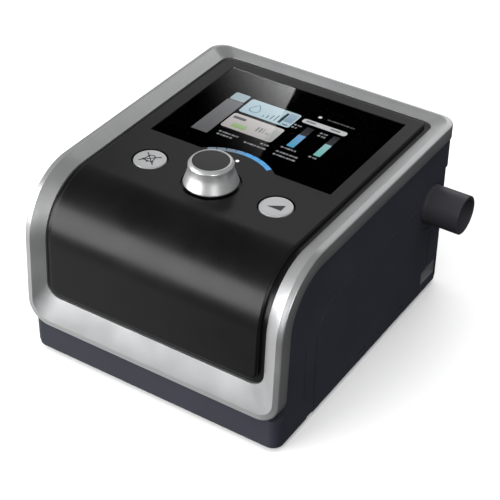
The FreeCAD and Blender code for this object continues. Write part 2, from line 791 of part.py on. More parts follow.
def make_knob():
    """Turning knob: flared skirt, straight waist and bevelled rim; dark disc let into its top."""
    foot = panel_top - 0.6
    top = panel_top + knob_height
    body = new_body("knob_body")
    half = sketch_on(body, "XZ_Plane", "knob_half")
    waist = top - 5
    outline(half, [
        (shaft_radius, foot + 3),
        (shaft_radius + 3, foot + 3),
        (shaft_radius + 3, foot),
        (knob_radius - 0.5, foot),
        (knob_radius, foot + 0.8),
        (knob_radius - 0.3, foot + 4),
        (knob_radius - 1.2, foot + 6.6),
        (knob_top_radius + 0.3, waist),
        (knob_top_radius, top - 1.4),
        (knob_top_radius - 1.4, top),
        (knob_disc_radius, top),
        (knob_disc_radius, top - 1),
        (shaft_radius, top - 1),
    ])
    turned(body, half, "V_Axis")
    bind(body, "Placement.Base.y", knob_y)
    piece(body, "control_knob")
    piece(rod("z", (0, knob_y, top - 1), knob_disc_radius - 0.05, 0.85), "knob_cap")
    shaft_foot = interface_top + 1.2
    shaft = rod("z", (0, knob_y, shaft_foot), shaft_radius - 0.02, top - 1.2 - shaft_foot)
    flat = box((shaft_radius - 0.8, shaft_radius + 1), (knob_y - 4, knob_y + 4),
               (shaft_foot - 1, shaft_foot + 4))
    piece(without(shaft, flat), "encoder_shaft")


def make_encoder():
    """Encoder body with a threaded bushing on the interface board, and the rotor that turns in it."""
    base = interface_top
    case = box((-6.2, 6.2), (knob_y - 6.2, knob_y + 6.2), (base, base + 5.5))
    bushing = rod("z", (0, knob_y, base + 5), 4.5, 5)
    chamber = rod("z", (0, knob_y, base + 0.5), 5.3, 4)
    bore = rod("z", (0, knob_y, base + 3), shaft_radius + 0.06, 9)
    piece(without(joined(case, bushing), chamber, bore), "encoder_body")
    rotor = rod("z", (0, knob_y, base + 2.2), 5, 1.9)
    hole = rod("z", (0, knob_y, base + 1), shaft_radius + 0.06, 5)
    flat = box((shaft_radius - 0.74, shaft_radius + 1), (knob_y - 4, knob_y + 4), (base + 1, base + 5))
    piece(without(rotor, without(hole, flat)), "encoder_rotor")


def make_buttons():
    """Two round buttons, the seal mat below the panel and the switches on the interface board."""
    switch_top = interface_top + 3.5
    flange_top = panel_top - 4
    for side, label in ((-1, "mute_button"), (1, "ramp_button")):
        x = side * button_x
        stem = rod("z", (x, button_y, switch_top + button_travel + 0.1), 2.6,
                   panel_top - 1 - switch_top - button_travel)
        brim = rod("z", (x, button_y, flange_top - 1.2), button_radius + 1.3, 1.1)
        low = rod("z", (x, button_y, flange_top - 0.5), button_radius, panel_top - flange_top)
        dome = taper("z", (x, button_y, panel_top - 0.5), button_radius, button_radius - 0.6, 0.6)
        piece(joined(stem, brim, low, dome), label)
    mat = box((-52, 52), (button_y - 12, button_y + 12), (switch_top + 0.2, switch_top + 1.2))
    holes = [rod("z", (side * button_x, button_y, switch_top - 1), 3.4, 4) for side in (-1, 1)]
    holes.append(rod("z", (0, knob_y, switch_top - 1), 9.5, 4))
    skirts = [tube("z", (side * button_x, button_y, interface_top), 7, 6, 3.8) for side in (-1, 1)]
    piece(without(joined(mat, *skirts), *holes), "keypad_mat")
    base = interface_top
    switches = []
    for side in (-1, 1):
        x = side * button_x
        body = box((x - 3, x + 3), (button_y - 3, button_y + 3), (base, base + 2.8))
        switches.append(joined(body, rod("z", (x, button_y, base + 2.6), 1.7, 0.9)))
    piece(group(switches), "button_switches")


# ---------------------------------------------------------------- boards and electrics

def make_interface_board():
    """Board below the panel that carries encoder, switches and display."""
    low = interface_foot
    board = box((-64, 64), (-46, 75), (low, low + board_thick))
    column_gap = [rod("z", (x, y, low - 1), 5, 4) for x, y in column_places]
    holes = [rod("z", (x, y, low - 1), 1.3, 4) for x, y in interface_holes]
    corner = box((50, 66), (52, 76), (low - 1, low + 3))
    piece(without(board, corner, *column_gap, *holes), "interface_board")


def make_main_board():
    """Main board on the bottom pan with its shield, coin cell, buzzer, sensor and card socket."""
    top = board_top
    board = box((-64, 64), (-79.5, -13), (board_foot, top))
    holes = [rod("z", (x, y, board_foot - 1), 1.3, 4) for x, y in board_posts]
    gaps = [rod("z", (x, y, board_foot - 1), 5, 4) for x, y in column_places[:2]]
    piece(without(board, *holes, *gaps), "main_board")
    screws = [joined(rod("z", (x, y, top), 2.4, 1.5), rod("z", (x, y, board_foot - 4), 1.05, 6))
              for x, y in board_posts + power_holes]
    low = interface_foot
    screws += [joined(rod("z", (x, y, low - 1.5), 2.4, 1.5), rod("z", (x, y, low - 0.5), 1.05, 6))
               for x, y in interface_holes]
    piece(group(screws), "board_screws")
    can = box((4, 38), (-62, -32), (top, top + 3))
    inside = box((4.4, 37.6), (-61.6, -32.4), (top - 1, top + 2.6))
    vents = [rod("z", (x, y, top), 0.8, 5) for x in (10, 16, 22, 28, 34) for y in (-56, -50, -44, -38)]
    piece(without(can, inside, *vents), "processor_shield")
    piece(rod("z", (50, -32, top + 0.8), 10, 3.2), "coin_cell")
    cup = rod("z", (50, -32, top), 11, 3.4)
    piece(without(cup, rod("z", (50, -32, top + 0.8), 10.05, 6)), "coin_cell_holder")
    buzzer = rod("z", (-25, -57, top), 11, 8)
    piece(without(buzzer, rod("z", (-25, -57, top + 6), 2, 5)), "alarm_buzzer")
    left = -body_half + 0.6
    socket = box((left + 12.7, left + 37.7), (card_front - 1.4, card_front + card_wide + 1.4),
                 (top, card_foot + card_thick + 1.2))
    bay = box((left + 9.7, left + 35.2), (card_front - 0.3, card_front + card_wide + 0.3),
              (card_foot - 0.3, card_foot + card_thick + 0.3))
    piece(without(socket, bay), "card_socket")
    card = box((left, left + card_long), (card_front, card_front + card_wide),
               (card_foot, card_foot + card_thick))
    notch = box((left + card_long - 4, left + card_long + 1), (card_front - 1, card_front + 3),
                (card_foot - 1, card_foot + 5))
    piece(without(card, notch), "memory_card")
    sensor = box((-8, 2), (-28, -18), (top, top + 4.5))
    nipple = rod("z", (-3, -23, top + 4), 1.5, 5)
    piece(joined(sensor, nipple), "pressure_sensor")


def make_power_board():
    """Small board at the right rear with the DC inlet jack and its capacitors."""
    top = board_top
    board = box((42, 63.5), (50, 82.5), (board_foot, top))
    holes = [rod("z", (x, y, board_foot - 1), 1.3, 4) for x, y in power_holes]
    piece(without(board, *holes), "power_board")
    shell = box((jack_x - 6, jack_x + 6), (66, body_back - wall - 0.2), (top, jack_z + 6))
    collar = rod("y", (jack_x, body_back - wall - 2, jack_z), 4.9, wall + 1.8)
    well = rod("y", (jack_x, 71, jack_z), 3.4, 20)
    pin = rod("y", (jack_x, 70, jack_z), 1.0, 13.5)
    jack = joined(without(joined(shell, collar), well), pin)
    piece(jack, "dc_inlet_jack")
    cans = [rod("z", (x, 59, top), 4, 14) for x in (47, 60)]
    piece(group(cans), "bulk_capacitors")


def bent_strip(points, wide, thick, x_low):
    """Flat ribbon through (y, z) points, swept across its width along X."""
    body = new_body("ribbon_body")
    sketch = sketch_on(body, "YZ_Plane", "ribbon_edge", x_low)
    there = list(points)
    back = [(y + thick, z + thick) for y, z in reversed(points)]
    outline(sketch, there + back)
    extrude(body, "Pad", sketch, as_size(wide))
    return body


def make_ribbon():
    """Flat ribbon between the interface board and the main board."""
    top = board_top
    points = [(-20, top), (-20, top + 10), (-9, 45), (-9, 80), (-12, interface_foot - 0.6)]
    piece(bent_strip([(as_size(y), as_size(z)) for y, z in points], 18, 0.6, as_size(-45)), "display_ribbon")


def make_pressure_tube():
    """Silicone tube from the pressure sensor up to the flow sensor, in straight runs and tangent arcs."""
    top = board_top
    low = V(-3, -23, top.value + 5)
    route = [low, V(-3, -23, 30), V(46, -10, 34), V(58, 36, 60), V(58, outlet_y.value - 15.1, 60)]
    outer = 2.3
    edges = []
    start = route[0]
    for before, corner, after in zip(route, route[1:], route[2:]):
        inbound = (corner - before).normalize()
        outbound = (after - corner).normalize()
        half_turn = inbound.getAngle(outbound) / 2
        radius = 0.42 * min((corner - before).Length, (after - corner).Length) / math.tan(half_turn)
        set_back = radius * math.tan(half_turn)
        enter = corner - inbound * set_back
        leave = corner + outbound * set_back
        inward = (outbound - inbound).normalize()
        middle = corner + inward * (radius / math.cos(half_turn) - radius)
        edges.append(Part.LineSegment(start, enter).toShape())
        edges.append(Part.Arc(enter, middle, leave).toShape())
        start = leave
    edges.append(Part.LineSegment(start, route[-1]).toShape())
    path = Part.Wire(edges)
    section = Part.Wire(Part.makeCircle(outer, route[0], route[1] - route[0]))
    sweep = path.makePipeShell([section], True, False)
    bore = Part.makeCylinder(1.55, 4, route[0], V(0, 0, 1))
    feature = doc.addObject("Part::Feature", "pressure_tube_shape")
    feature.Shape = sweep.cut(bore)
    piece(feature, "pressure_tube")


# ---------------------------------------------------------------- air path

def make_filter():
    """Left side: inlet duct, pleated filter and the hinged cover with slots."""
    left = -inner_half
    duct_wall = 1.5
    outer = box((left + 0.1, box_left - 0.1), (filter_front - 2.5, filter_back + 2.5),
                (filter_foot - 2.5, filter_top + 2.5))
    inner = box((left - 1, box_left + 1), (filter_front - 2.5 + duct_wall, filter_back + 2.5 - duct_wall),
                (filter_foot - 2.5 + duct_wall, filter_top + 2.5 - duct_wall))
    stop = tube_frame((left + 7.5, left + 9), filter_front - 1.5, filter_back + 1.5, filter_foot - 1.5,
                      filter_top + 1.5, 3)
    piece(joined(without(outer, inner), stop), "inlet_duct")
    pad = box((left + 1.4, left + 7.4), (filter_front - 0.8, filter_back + 0.8),
              (filter_foot - 0.8, filter_top + 0.8))
    pleats = [box((left + 0.4, left + 4), (y, y + 1.6), (filter_foot + 3, filter_top - 3))
              for y in range(20, 60, 4)]
    piece(without(pad, *pleats), "inlet_filter")

    plate = box((-body_half, -body_half + 1.8), (filter_front + 0.4, filter_back - 0.4),
                (filter_foot + 2.1, filter_top - 0.4))
    opening = filter_back - filter_front
    barrel = rod("y", (filter_hinge_x, filter_front + 0.4, filter_hinge_z), 1.1, opening - 0.8)
    pegs = rod("y", (filter_hinge_x, filter_front - 1.2, filter_hinge_z), 0.75, opening + 2.4)
    slots = [box((-body_half - 1, -body_half + 3), (filter_front + 7, filter_back - 7), (z, z + 2.4))
             for z in range(28, 56, 5)]
    piece(joined(without(joined(plate, barrel), *slots), pegs), "filter_cover")


def tube_frame(x_range, y_low, y_high, z_low, z_high, border):
    """Rectangular picture frame across X."""
    whole = box(x_range, (y_low, y_high), (z_low, z_high))
    hole = box((x_range[0] - 1, x_range[1] + 1), (y_low + border, y_high - border),
               (z_low + border, z_high - border))
    return without(whole, hole)


def make_sound_box():
    """Sound box round the blower, with its lid and foam lining."""
    skin = 2
    floor = pan_thick + 1
    outer = box((box_left, box_right), (box_front, box_back), (floor, box_top - skin))
    inner = box((box_left + skin, box_right - skin), (box_front + skin, box_back - skin),
                (floor + skin, box_top + 1))
    inlet = box((box_left - 1, box_left + 3), (filter_front + 4, filter_back - 4),
                (filter_foot + 6, filter_top - 6))
    outlet = rod("x", (box_right - 5, outlet_y, outlet_z), duct_radius + 2.6, 8)
    notch = box((box_right - 3, box_right + 1), (outlet_y - 2, outlet_y + 2), (outlet_z, box_top + 1))
    pegs = [rod("z", (x, y, pan_thick), 4, 1.2) for x, y in ((-44, 12), (28, 12), (-44, 70), (28, 70))]
    piece(joined(without(outer, inner, inlet, outlet, notch), *pegs), "sound_box")
    lid = box((box_left, box_right), (box_front, box_back), (box_top - skin + 0.05, box_top))
    rim = box((box_left + skin + 0.3, box_right - skin - 0.3),
              (box_front + skin + 0.3, box_back - skin - 0.3), (box_top - skin - 2, box_top - skin + 0.5))
    rim_hole = box((box_left + 5, box_right - 5), (box_front + 5, box_back - 5),
                   (box_top - skin - 3, box_top - skin + 0.05))
    piece(joined(lid, without(rim, rim_hole)), "sound_box_lid")
    low = floor + skin + 0.1
    thick = 5
    bed = box((box_left + skin + 0.2, box_right - skin - 0.2),
              (box_front + skin + 0.2, box_back - skin - 0.2), (low, low + thick))
    front = box((box_left + skin + 0.2, box_right - skin - 0.2),
                (box_front + skin + 0.2, box_front + skin + thick), (low, 78))
    left = box((box_left + skin + 0.2, box_left + skin + thick), (box_front + skin + 0.2, filter_front + 3),
               (low, 78))
    wells = [rod("z", (x, y, low - 1), 5.5, thick + 2) for x, y in mount_places()]
    piece(without(joined(bed, front, left), *wells), "acoustic_foam")


def mount_places():
    """The four silicone posts that hang the blower."""
    return [(blower_x + dx, blower_y + dy) for dx in (-13, 13) for dy in (-13, 13)]


def volute_shell(low, high):
    """One half of the blower casing: eccentric drum with its tangential outlet duct."""
    scroll = (blower_x, blower_y + 2.5)
    skin = 2
    drum = rod("z", (*scroll, volute_foot), volute_radius, volute_tall)
    duct = rod("x", (blower_x, outlet_y, outlet_z), duct_radius, duct_long)
    hollow = rod("z", (*scroll, volute_foot + skin), volute_radius - skin, volute_tall - 2 * skin)
    bore = rod("x", (blower_x, outlet_y, outlet_z), duct_radius - 1.6, duct_long + 4)
    eye = rod("z", (blower_x, blower_y, outlet_z), 13, 20)
    shaft_hole = rod("z", (blower_x, blower_y, volute_foot - 10), motor_shaft_radius + 0.8, 20)
    lip = taper("z", (blower_x, blower_y, volute_foot + volute_tall - 0.5), 16, 14.5, 1.5)
    boss = rod("z", (blower_x, blower_y, volute_foot - 5.5), 8, 6.5)
    pocket = rod("z", (blower_x, blower_y, volute_foot - 5), 5.5, 5)
    shell = without(joined(drum, duct, lip, boss), joined(hollow, bore), eye, shaft_hole, pocket)
    return shared(shell, box((-60, 60), (-10, 90), (low, high)))


def make_blower():
    """Centrifugal blower: casing halves, impeller, shaft, magnet, bearings, stator and motor housing."""
    split = outlet_z
    piece(volute_shell(volute_foot - 8, split), "volute_lower")
    piece(volute_shell(split + 0.02, volute_foot + volute_tall + 3), "volute_upper")

    plate_foot = volute_foot + 4
    body = new_body("impeller_body")
    half = sketch_on(body, "XZ_Plane", "impeller_half")
    outline(half, [
        (motor_shaft_radius, plate_foot - 1.5),
        (motor_shaft_radius + 3.5, plate_foot - 1.5),
        (motor_shaft_radius + 4.5, plate_foot),
        (impeller_radius, plate_foot),
        (impeller_radius, plate_foot + 1.2),
        (motor_shaft_radius + 6, plate_foot + 1.6),
        (motor_shaft_radius + 2.2, plate_foot + 8),
        (motor_shaft_radius, plate_foot + 8),
    ])
    turned(body, half, "V_Axis")
    blade = sketch_on(body, "XY_Plane", "blade", plate_foot + 1)
    tip = impeller_radius - 0.2
    sweep_radius = as_size(19)
    outline(blade, blade_corners(tip), blade_arcs(tip, sweep_radius))
    pad = extrude(body, "Pad", blade, as_size(10.5))
    pattern = body.newObject("PartDesign::PolarPattern", "blades")
    pattern.Originals = [pad]
    pattern.Axis = (blade, ["N_Axis"])
    pattern.Angle = 360
    pattern.Occurrences = 11
    body.Tip = pattern
    doc.recompute()
    piece(body, "impeller")
    bind(body, "Placement.Base.x", origin_x + blower_x)
    bind(body, "Placement.Base.y", blower_y)

    bottom = motor_foot + 2.2
    piece(rod("z", (blower_x, blower_y, bottom), motor_shaft_radius, plate_foot + 8 - bottom), "motor_shaft")
    magnet_foot = motor_foot + 8.5
    piece(tube("z", (blower_x, blower_y, magnet_foot), 9, motor_shaft_radius, 9.5), "rotor_magnet")
    rings = [tube("z", (blower_x, blower_y, foot), 5.45, motor_shaft_radius + 0.03, 4)
             for foot in (motor_foot + 2, volute_foot - 4.6)]
    piece(group(rings), "motor_bearings")

    ring = tube("z", (blower_x, blower_y, magnet_foot), 19, 16.8, 9.5)
    teeth = []
    coils = []
    for number in range(6):
        turn = FreeCAD.Rotation(V(0, 0, 1), 60 * number)
        tooth = box((0, 0), (0, 0), (0, 0))
        size_block(tooth, 6.7, 3, 9.5, turn, 10.3, magnet_foot)
        teeth.append(tooth)
        coil = box((0, 0), (0, 0), (0, 0))
        size_block(coil, 4.0, 7, 11.5, turn, 12.4, magnet_foot - 1)
        slot = box((0, 0), (0, 0), (0, 0))
        size_block(slot, 8, 3.1, 9.7, turn, 10.3, magnet_foot - 0.1)
        coils.append(without(coil, slot))
    piece(joined(ring, *teeth), "stator_core")
    piece(group(coils), "stator_windings")

    cup = rod("z", (blower_x, blower_y, motor_foot), motor_radius, volute_foot - motor_foot - 0.1)
    hollow = rod("z", (blower_x, blower_y, motor_foot + 6.2), 19.1, 40)
    seat = rod("z", (blower_x, blower_y, motor_foot + 2), 5.5, 20)
    through = rod("z", (blower_x, blower_y, motor_foot - 1), 2.5, 5)
    piece(without(cup, hollow, seat, through), "motor_housing")

    foot = pan_thick + 3.1
    posts = [joined(rod("z", (x, y, foot), 4, motor_foot - foot - 0.1),
                    rod("z", (x, y, foot), 5.2, 3))
             for x, y in mount_places()]
    piece(group(posts), "blower_mounts")


def size_block(block, length, width, height, turn, reach, foot):
    """Block that starts at a reach from the motor axis, along a turned direction."""
    for side, value in (("Length", length), ("Width", width), ("Height", height)):
        bind(block, side, value)
    shift = turn.multVec(V(reach, -width / 2, 0))
    block.Placement = FreeCAD.Placement(V(0, 0, 0), turn)
    bind(block, "Placement.Base.x", blower_x + shift.x)
    bind(block, "Placement.Base.y", blower_y + shift.y)
    bind(block, "Placement.Base.z", foot)


def blade_corners(tip):
    """Corners of one backward-curved blade: two points at the hub, two at the tip."""
    lag = as_size(38)
    thin = as_size(2.2)
    hub = as_size(11)
    return [
        (hub, as_size(0)),
        (tip * cosine(lag), tip * sine(lag)),
        (tip * cosine(lag + thin), tip * sine(lag + thin)),
        (hub * cosine(thin * 2), hub * sine(thin * 2)),
    ]


def blade_arcs(tip, bend):
    """The two curved flanks of a blade, with their centres worked out from their ends."""
    corners = blade_corners(tip)

    def centre(one, other):
        middle_x = (one[0].value + other[0].value) / 2
        middle_y = (one[1].value + other[1].value) / 2
        run_x = other[0].value - one[0].value
        run_y = other[1].value - one[1].value
        span = math.hypot(run_x, run_y)
        rise = math.sqrt(bend.value ** 2 - span ** 2 / 4)
        return (middle_x - run_y / span * rise, middle_y + run_x / span * rise)
    return {0: (bend, centre(corners[0], corners[1])), 2: (bend, centre(corners[3], corners[2]))}


def make_outlet():
    """Flexible bellows, flow sensor, air outlet tube, and the gasket round it behind the wall."""
    duct_end = blower_x + duct_long
    start = duct_end - 7
    sensor_start = as_size(50)
    stop = sensor_start + 6
    inner = duct_radius + 0.1
    ribs = [rod("x", (duct_end + 1 + 4.2 * number, outlet_y, outlet_z), duct_radius + 2.4, 1.8)
            for number in range(4)]
    sleeve = rod("x", (start, outlet_y, outlet_z), duct_radius + 1.2, stop - start)
    hollow = rod("x", (start - 1, outlet_y, outlet_z), inner, stop - start + 2)
    piece(without(joined(sleeve, *ribs), hollow), "outlet_bellows")

    flange_x = inner_half - 1.8
    body = rod("x", (sensor_start, outlet_y, outlet_z), duct_radius, flange_x - sensor_start - 0.1)
    pod = box((58, 69), (outlet_y - 6, outlet_y + 6), (outlet_z, outlet_z + 15))
    spigot = rod("y", (58, outlet_y - 15, outlet_z - 1), 1.5, 8)
    bore = rod("x", (sensor_start - 1, outlet_y, outlet_z), outlet_bore, 30)
    piece(without(joined(body, pod, spigot), bore), "flow_sensor")

    root_end = body_half + 1.4
    barrel = rod("x", (flange_x, outlet_y, outlet_z), outlet_radius + 0.25, root_end - flange_x)
    tube_part = rod("x", (root_end - 0.1, outlet_y, outlet_z), outlet_radius, outlet_end - root_end - 0.5)
    tip = taper("x", (outlet_end - 0.7, outlet_y, outlet_z), outlet_radius, outlet_radius - 0.5, 0.7)
    flange = rod("x", (flange_x, outlet_y, outlet_z), outlet_radius + 3, 1.6)
    bore = rod("x", (flange_x - 1, outlet_y, outlet_z), outlet_bore, outlet_end - flange_x + 2)
    piece(without(joined(barrel, tube_part, tip, flange), bore), "air_outlet")
    piece(tube("x", (inner_half - 0.15, outlet_y, outlet_z), outlet_radius + 1.5, outlet_radius + 0.3, 1.6),
          "outlet_gasket")


# ---------------------------------------------------------------- feet and case screws

def make_feet_and_screws():
    """Four rubber feet, four case screws and four chassis screws."""
    feet = [taper("z", (x, y, -foot_height), 6.2, 7, foot_height) for x, y in foot_places]
    piece(group(feet), "rubber_feet")
    screws = [joined(rod("z", (x, y, 0.3), 2.8, 1.3), rod("z", (x, y, 1.5), 1.25, 13))
              for x, y in column_places]
    piece(group(screws), "case_screws")
    head_foot = case_height - bezel_deep - seam - chassis_thick + 0.5
    tops = [joined(rod("z", (x, y, head_foot), 2.4, 1.4), rod("z", (x, y, head_foot - 9), 0.95, 10))
            for x, y in column_places]
    piece(group(tops), "chassis_screws")


# ---------------------------------------------------------------- build, check and write

MAKERS = [
    make_bottom_pan, make_housing, make_docking_side, make_bezel, make_front_panel, make_display,
    make_chassis, make_knob, make_encoder, make_buttons, make_interface_board, make_main_board,
    make_power_board, make_ribbon, make_pressure_tube, make_filter, make_sound_box, make_blower,
    make_outlet, make_feet_and_screws,
]
for make in MAKERS:
    make()
doc.recompute()

broken = [item.Label for item in doc.Objects if "Invalid" in item.State or "Error" in item.State]
if broken:
    raise RuntimeError(f"failed objects: {broken}")
os.makedirs("parts", exist_ok=True)
for item in pieces:
    if item.Shape.isNull() or not item.Shape.isValid():
        raise RuntimeError(f"{item.Label}: bad shape")
    item.Shape.exportStep(f"parts/{item.Label}.step")
    print(item.Label, len(item.Shape.Solids), round(item.Shape.Volume / 1000, 2))
print(len(pieces), "pieces")
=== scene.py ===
# %% [markdown]
# # A bedside ventilator in Blender
# The frame is the CAD model of a small ventilator: sixty nodes on eight bodies, each already in its
# place. This lesson gives it its looks. The pieces that everybody sees first, such as the silver bezel,
# the glossy front panel, the knob and the display, are worked out again as smooth numpy surfaces. The
# others keep their CAD shape and get a better finish.

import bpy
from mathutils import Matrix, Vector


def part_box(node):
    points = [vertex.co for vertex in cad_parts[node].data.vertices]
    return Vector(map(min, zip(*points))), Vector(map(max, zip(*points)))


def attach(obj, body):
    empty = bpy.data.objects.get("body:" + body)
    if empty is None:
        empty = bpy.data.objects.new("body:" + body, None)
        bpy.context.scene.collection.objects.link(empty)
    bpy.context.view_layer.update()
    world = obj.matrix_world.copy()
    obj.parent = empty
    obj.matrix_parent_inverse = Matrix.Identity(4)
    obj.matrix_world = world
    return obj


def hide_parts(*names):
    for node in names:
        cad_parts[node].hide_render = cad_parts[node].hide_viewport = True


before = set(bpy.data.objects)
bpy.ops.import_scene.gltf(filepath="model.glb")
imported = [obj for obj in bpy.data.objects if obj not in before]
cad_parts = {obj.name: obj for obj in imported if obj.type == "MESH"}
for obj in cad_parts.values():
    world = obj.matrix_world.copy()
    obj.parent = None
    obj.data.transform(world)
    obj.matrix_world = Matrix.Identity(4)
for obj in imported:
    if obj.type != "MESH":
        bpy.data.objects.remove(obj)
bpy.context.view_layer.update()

# %% [markdown]
# ## Measures taken from the frame
# Everything here is written in millimetres and turned into metres when a mesh is made. Nothing is
# placed by eye: the middle of the case, the top of the skin and the centre of every round piece come
# from the boxes of the CAD nodes.

# %% Boxes in millimetres
import bpy
import numpy as np
from mathutils import Matrix, Vector

MM = 0.001


def span(node):
    """Lowest and highest corner of a CAD node, in millimetres."""
    low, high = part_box(node)
    return np.array(low) / MM, np.array(high) / MM


def centre(node):
    """Middle of a CAD node's box, in millimetres."""
    return sum(span(node)) / 2


bezel_low, bezel_high = span("bezel_frame")
panel_low, panel_high = span("front_panel")
mid_x = (bezel_low[0] + bezel_high[0]) / 2
skin_top = bezel_high[2]
panel_top = panel_high[2]
print("middle at x", round(mid_x, 2), "skin top at z", round(skin_top, 2))

# %% [markdown]
# ## Camera
# The machine is seen from its front right, well above it, through a long lens. A long lens from far
# away keeps the upright edges nearly parallel, which is how such products are usually shown.

# %% Place the camera
camera_data = bpy.data.cameras.new("camera")
camera = bpy.data.objects.new("camera", camera_data)
bpy.context.scene.collection.objects.link(camera)
DISTANCE, LENS, SENSOR = 0.79776, 106.64, 36.0
azimuth, elevation, roll = np.radians([32.46, 36.64, 0.804])
target = Vector((-0.00602, 0.0, 0.04364))
back = Vector((np.sin(azimuth) * np.cos(elevation), -np.cos(azimuth) * np.cos(elevation), np.sin(elevation)))
level = back.cross(Vector((0, 0, 1))).normalized() * -1
upward = back.cross(level)
across = level * np.cos(roll) + upward * np.sin(roll)
upright = upward * np.cos(roll) - level * np.sin(roll)
turn = Matrix((across, upright, back)).transposed()
camera.matrix_world = Matrix.Translation(target + back * DISTANCE) @ turn.to_4x4()
camera_data.sensor_width = SENSOR
camera_data.lens = LENS
camera_data.clip_start = 0.01
bpy.context.scene.camera = camera
print("camera at", [round(v, 3) for v in camera.matrix_world.translation])

# %% [markdown]
# ## Floor and light
# A studio's paper floor is flat under the machine and curves up far behind it, so that no horizon
# shows. Here it is a wide dish in metres, worked out from distance and angle: the height is nought out
# to the flat reach, and then grows with the square of the distance beyond it. Reflections and shadows
# on the machine don't see the floor, which keeps the dark plastic dark.

# %% Floor
bpy.context.scene.view_settings.view_transform = "Standard"
FLOOR_REACH, FLAT_REACH, RISE, FLOOR_DROP = 4.0, 2.0, 0.45, 0.0002
spokes = np.linspace(0, 2 * np.pi, 96, endpoint=False)
reach, spoke = np.meshgrid(np.linspace(0.02, FLOOR_REACH, 60), spokes, indexing="ij")
rise = RISE * np.clip(reach - FLAT_REACH, 0, None) ** 2
floor_points = np.stack([reach * np.cos(spoke), reach * np.sin(spoke), rise - FLOOR_DROP], axis=-1)
floor_points = floor_points.reshape(-1, 3)
rows_of = np.arange(len(floor_points)).reshape(reach.shape)
inner, outer = rows_of[:-1], rows_of[1:]
floor_faces = np.stack([inner, outer, np.roll(outer, -1, 1), np.roll(inner, -1, 1)], -1).reshape(-1, 4)
floor_mesh = bpy.data.meshes.new("floor")
floor_mesh.from_pydata(floor_points.tolist(), [], floor_faces.tolist() + [rows_of[0].tolist()])
floor_mesh.shade_smooth()
floor = bpy.data.objects.new("floor", floor_mesh)
bpy.context.scene.collection.objects.link(floor)
paper = bpy.data.materials.new("pale_paper")
paper.use_nodes = True
paper_shader = paper.node_tree.nodes["Principled BSDF"]
paper_shader.inputs["Base Color"].default_value = (0.93, 0.93, 0.93, 1)
paper_shader.inputs["Roughness"].default_value = 0.9
paper_shader.inputs["Specular IOR Level"].default_value = 0.0
floor_mesh.materials.append(paper)
floor.visible_glossy = floor.visible_diffuse = floor.visible_shadow = False
print("floor", len(floor_mesh.polygons), "faces, out to", FLOOR_REACH, "m")

# %% [markdown]
# ## Room
# Glossy black plastic has almost no colour of its own, so what it shows is the room. The room is a
# world whose light depends on height alone: nearly dark below, a soft grey band from the horizon
# upwards, and dim again overhead. A map range turns the height of a direction, from -1 to 1, into a
# place on a colour ramp.

# %% World
ROOM_LIGHT = ((0.42, (0.033, 0.033, 0.035)), (0.95, (0.07, 0.07, 0.07)),
              (0.53, (0.24, 0.24, 0.24)), (0.78, (0.24, 0.24, 0.24)))
world = bpy.data.worlds.new("studio")
bpy.context.scene.world = world
world.use_nodes = True
room = world.node_tree
room.nodes.clear()
direction = room.nodes.new("ShaderNodeTexCoord")
parts = room.nodes.new("ShaderNodeSeparateXYZ")
height = room.nodes.new("ShaderNodeMapRange")
ramp = room.nodes.new("ShaderNodeValToRGB")
sky = room.nodes.new("ShaderNodeBackground")
out = room.nodes.new("ShaderNodeOutputWorld")
room.links.new(direction.outputs["Generated"], parts.inputs[0])
height.inputs["From Min"].default_value = -1.0
room.links.new(parts.outputs["Z"], height.inputs["Value"])
room.links.new(height.outputs["Result"], ramp.inputs["Fac"])
stops = ramp.color_ramp.elements
for stop, (position, light) in zip((stops[0], stops[1]), ROOM_LIGHT[:2]):
    stop.position, stop.color = position, (*light, 1)
for position, light in ROOM_LIGHT[2:]:
    stops.new(position).color = (*light, 1)
room.links.new(ramp.outputs["Color"], sky.inputs["Color"])
sky.inputs["Strength"].default_value = 1.0
room.links.new(sky.outputs[0], out.inputs[0])
print("room light at", len(stops), "heights")

# %% [markdown]
# ## Lamps
# Each soft box is a rectangle light aimed at a point of the machine, out of the camera's sight. The
# large one at the front left gives the band on the crown, the one at the rear left lights the slopes
# of the silver frame, the small one at the front right sets a bright spot on the knob, and the low one
# lifts the lower front. The sun is given a wide angle, so its shadow has no hard edge. It is hidden
# from reflections and from light that passes through the window, or it would veil the glass.

# %% Lamps
def soft_box(name, place, aim, wide, tall, power):
    """Rectangle light at a place, facing a point."""
    data = bpy.data.lights.new(name, "AREA")
    data.shape = "RECTANGLE"
    data.size, data.size_y, data.energy = wide, tall, power
    lamp = bpy.data.objects.new(name, data)
    bpy.context.scene.collection.objects.link(lamp)
    lamp.location = place
    lamp.visible_camera = False
    lamp.rotation_mode = "QUATERNION"
    lamp.rotation_quaternion = (Vector(aim) - Vector(place)).to_track_quat("-Z", "Y")


SUN_STRENGTH, SUN_ANGLE = 3.6, 120
sun_data = bpy.data.lights.new("sun", "SUN")
sun_data.energy = SUN_STRENGTH
sun_data.angle = np.radians(SUN_ANGLE)
sun = bpy.data.objects.new("sun", sun_data)
bpy.context.scene.collection.objects.link(sun)
sun.rotation_mode = "QUATERNION"
sun.rotation_quaternion = Vector((0.15, 0.2, -1.0)).to_track_quat("-Z", "Y")
sun.visible_glossy = sun.visible_transmission = False
soft_box("front_left", (-0.68, -0.87, 0.36), (-0.01, -0.05, 0.07), 1.3, 0.72, 14.5)
soft_box("rear_left", (-0.36, 1.10, 0.62), (-0.01, 0.0, 0.08), 0.90, 0.95, 2.35)
soft_box("front_right", (0.66, -0.66, 0.48), (-0.01, -0.03, 0.10), 0.34, 0.34, 2.6)
soft_box("low_left", (-0.66, -0.40, -0.52), (-0.01, -0.05, 0.06), 1.0, 1.0, 1.9)

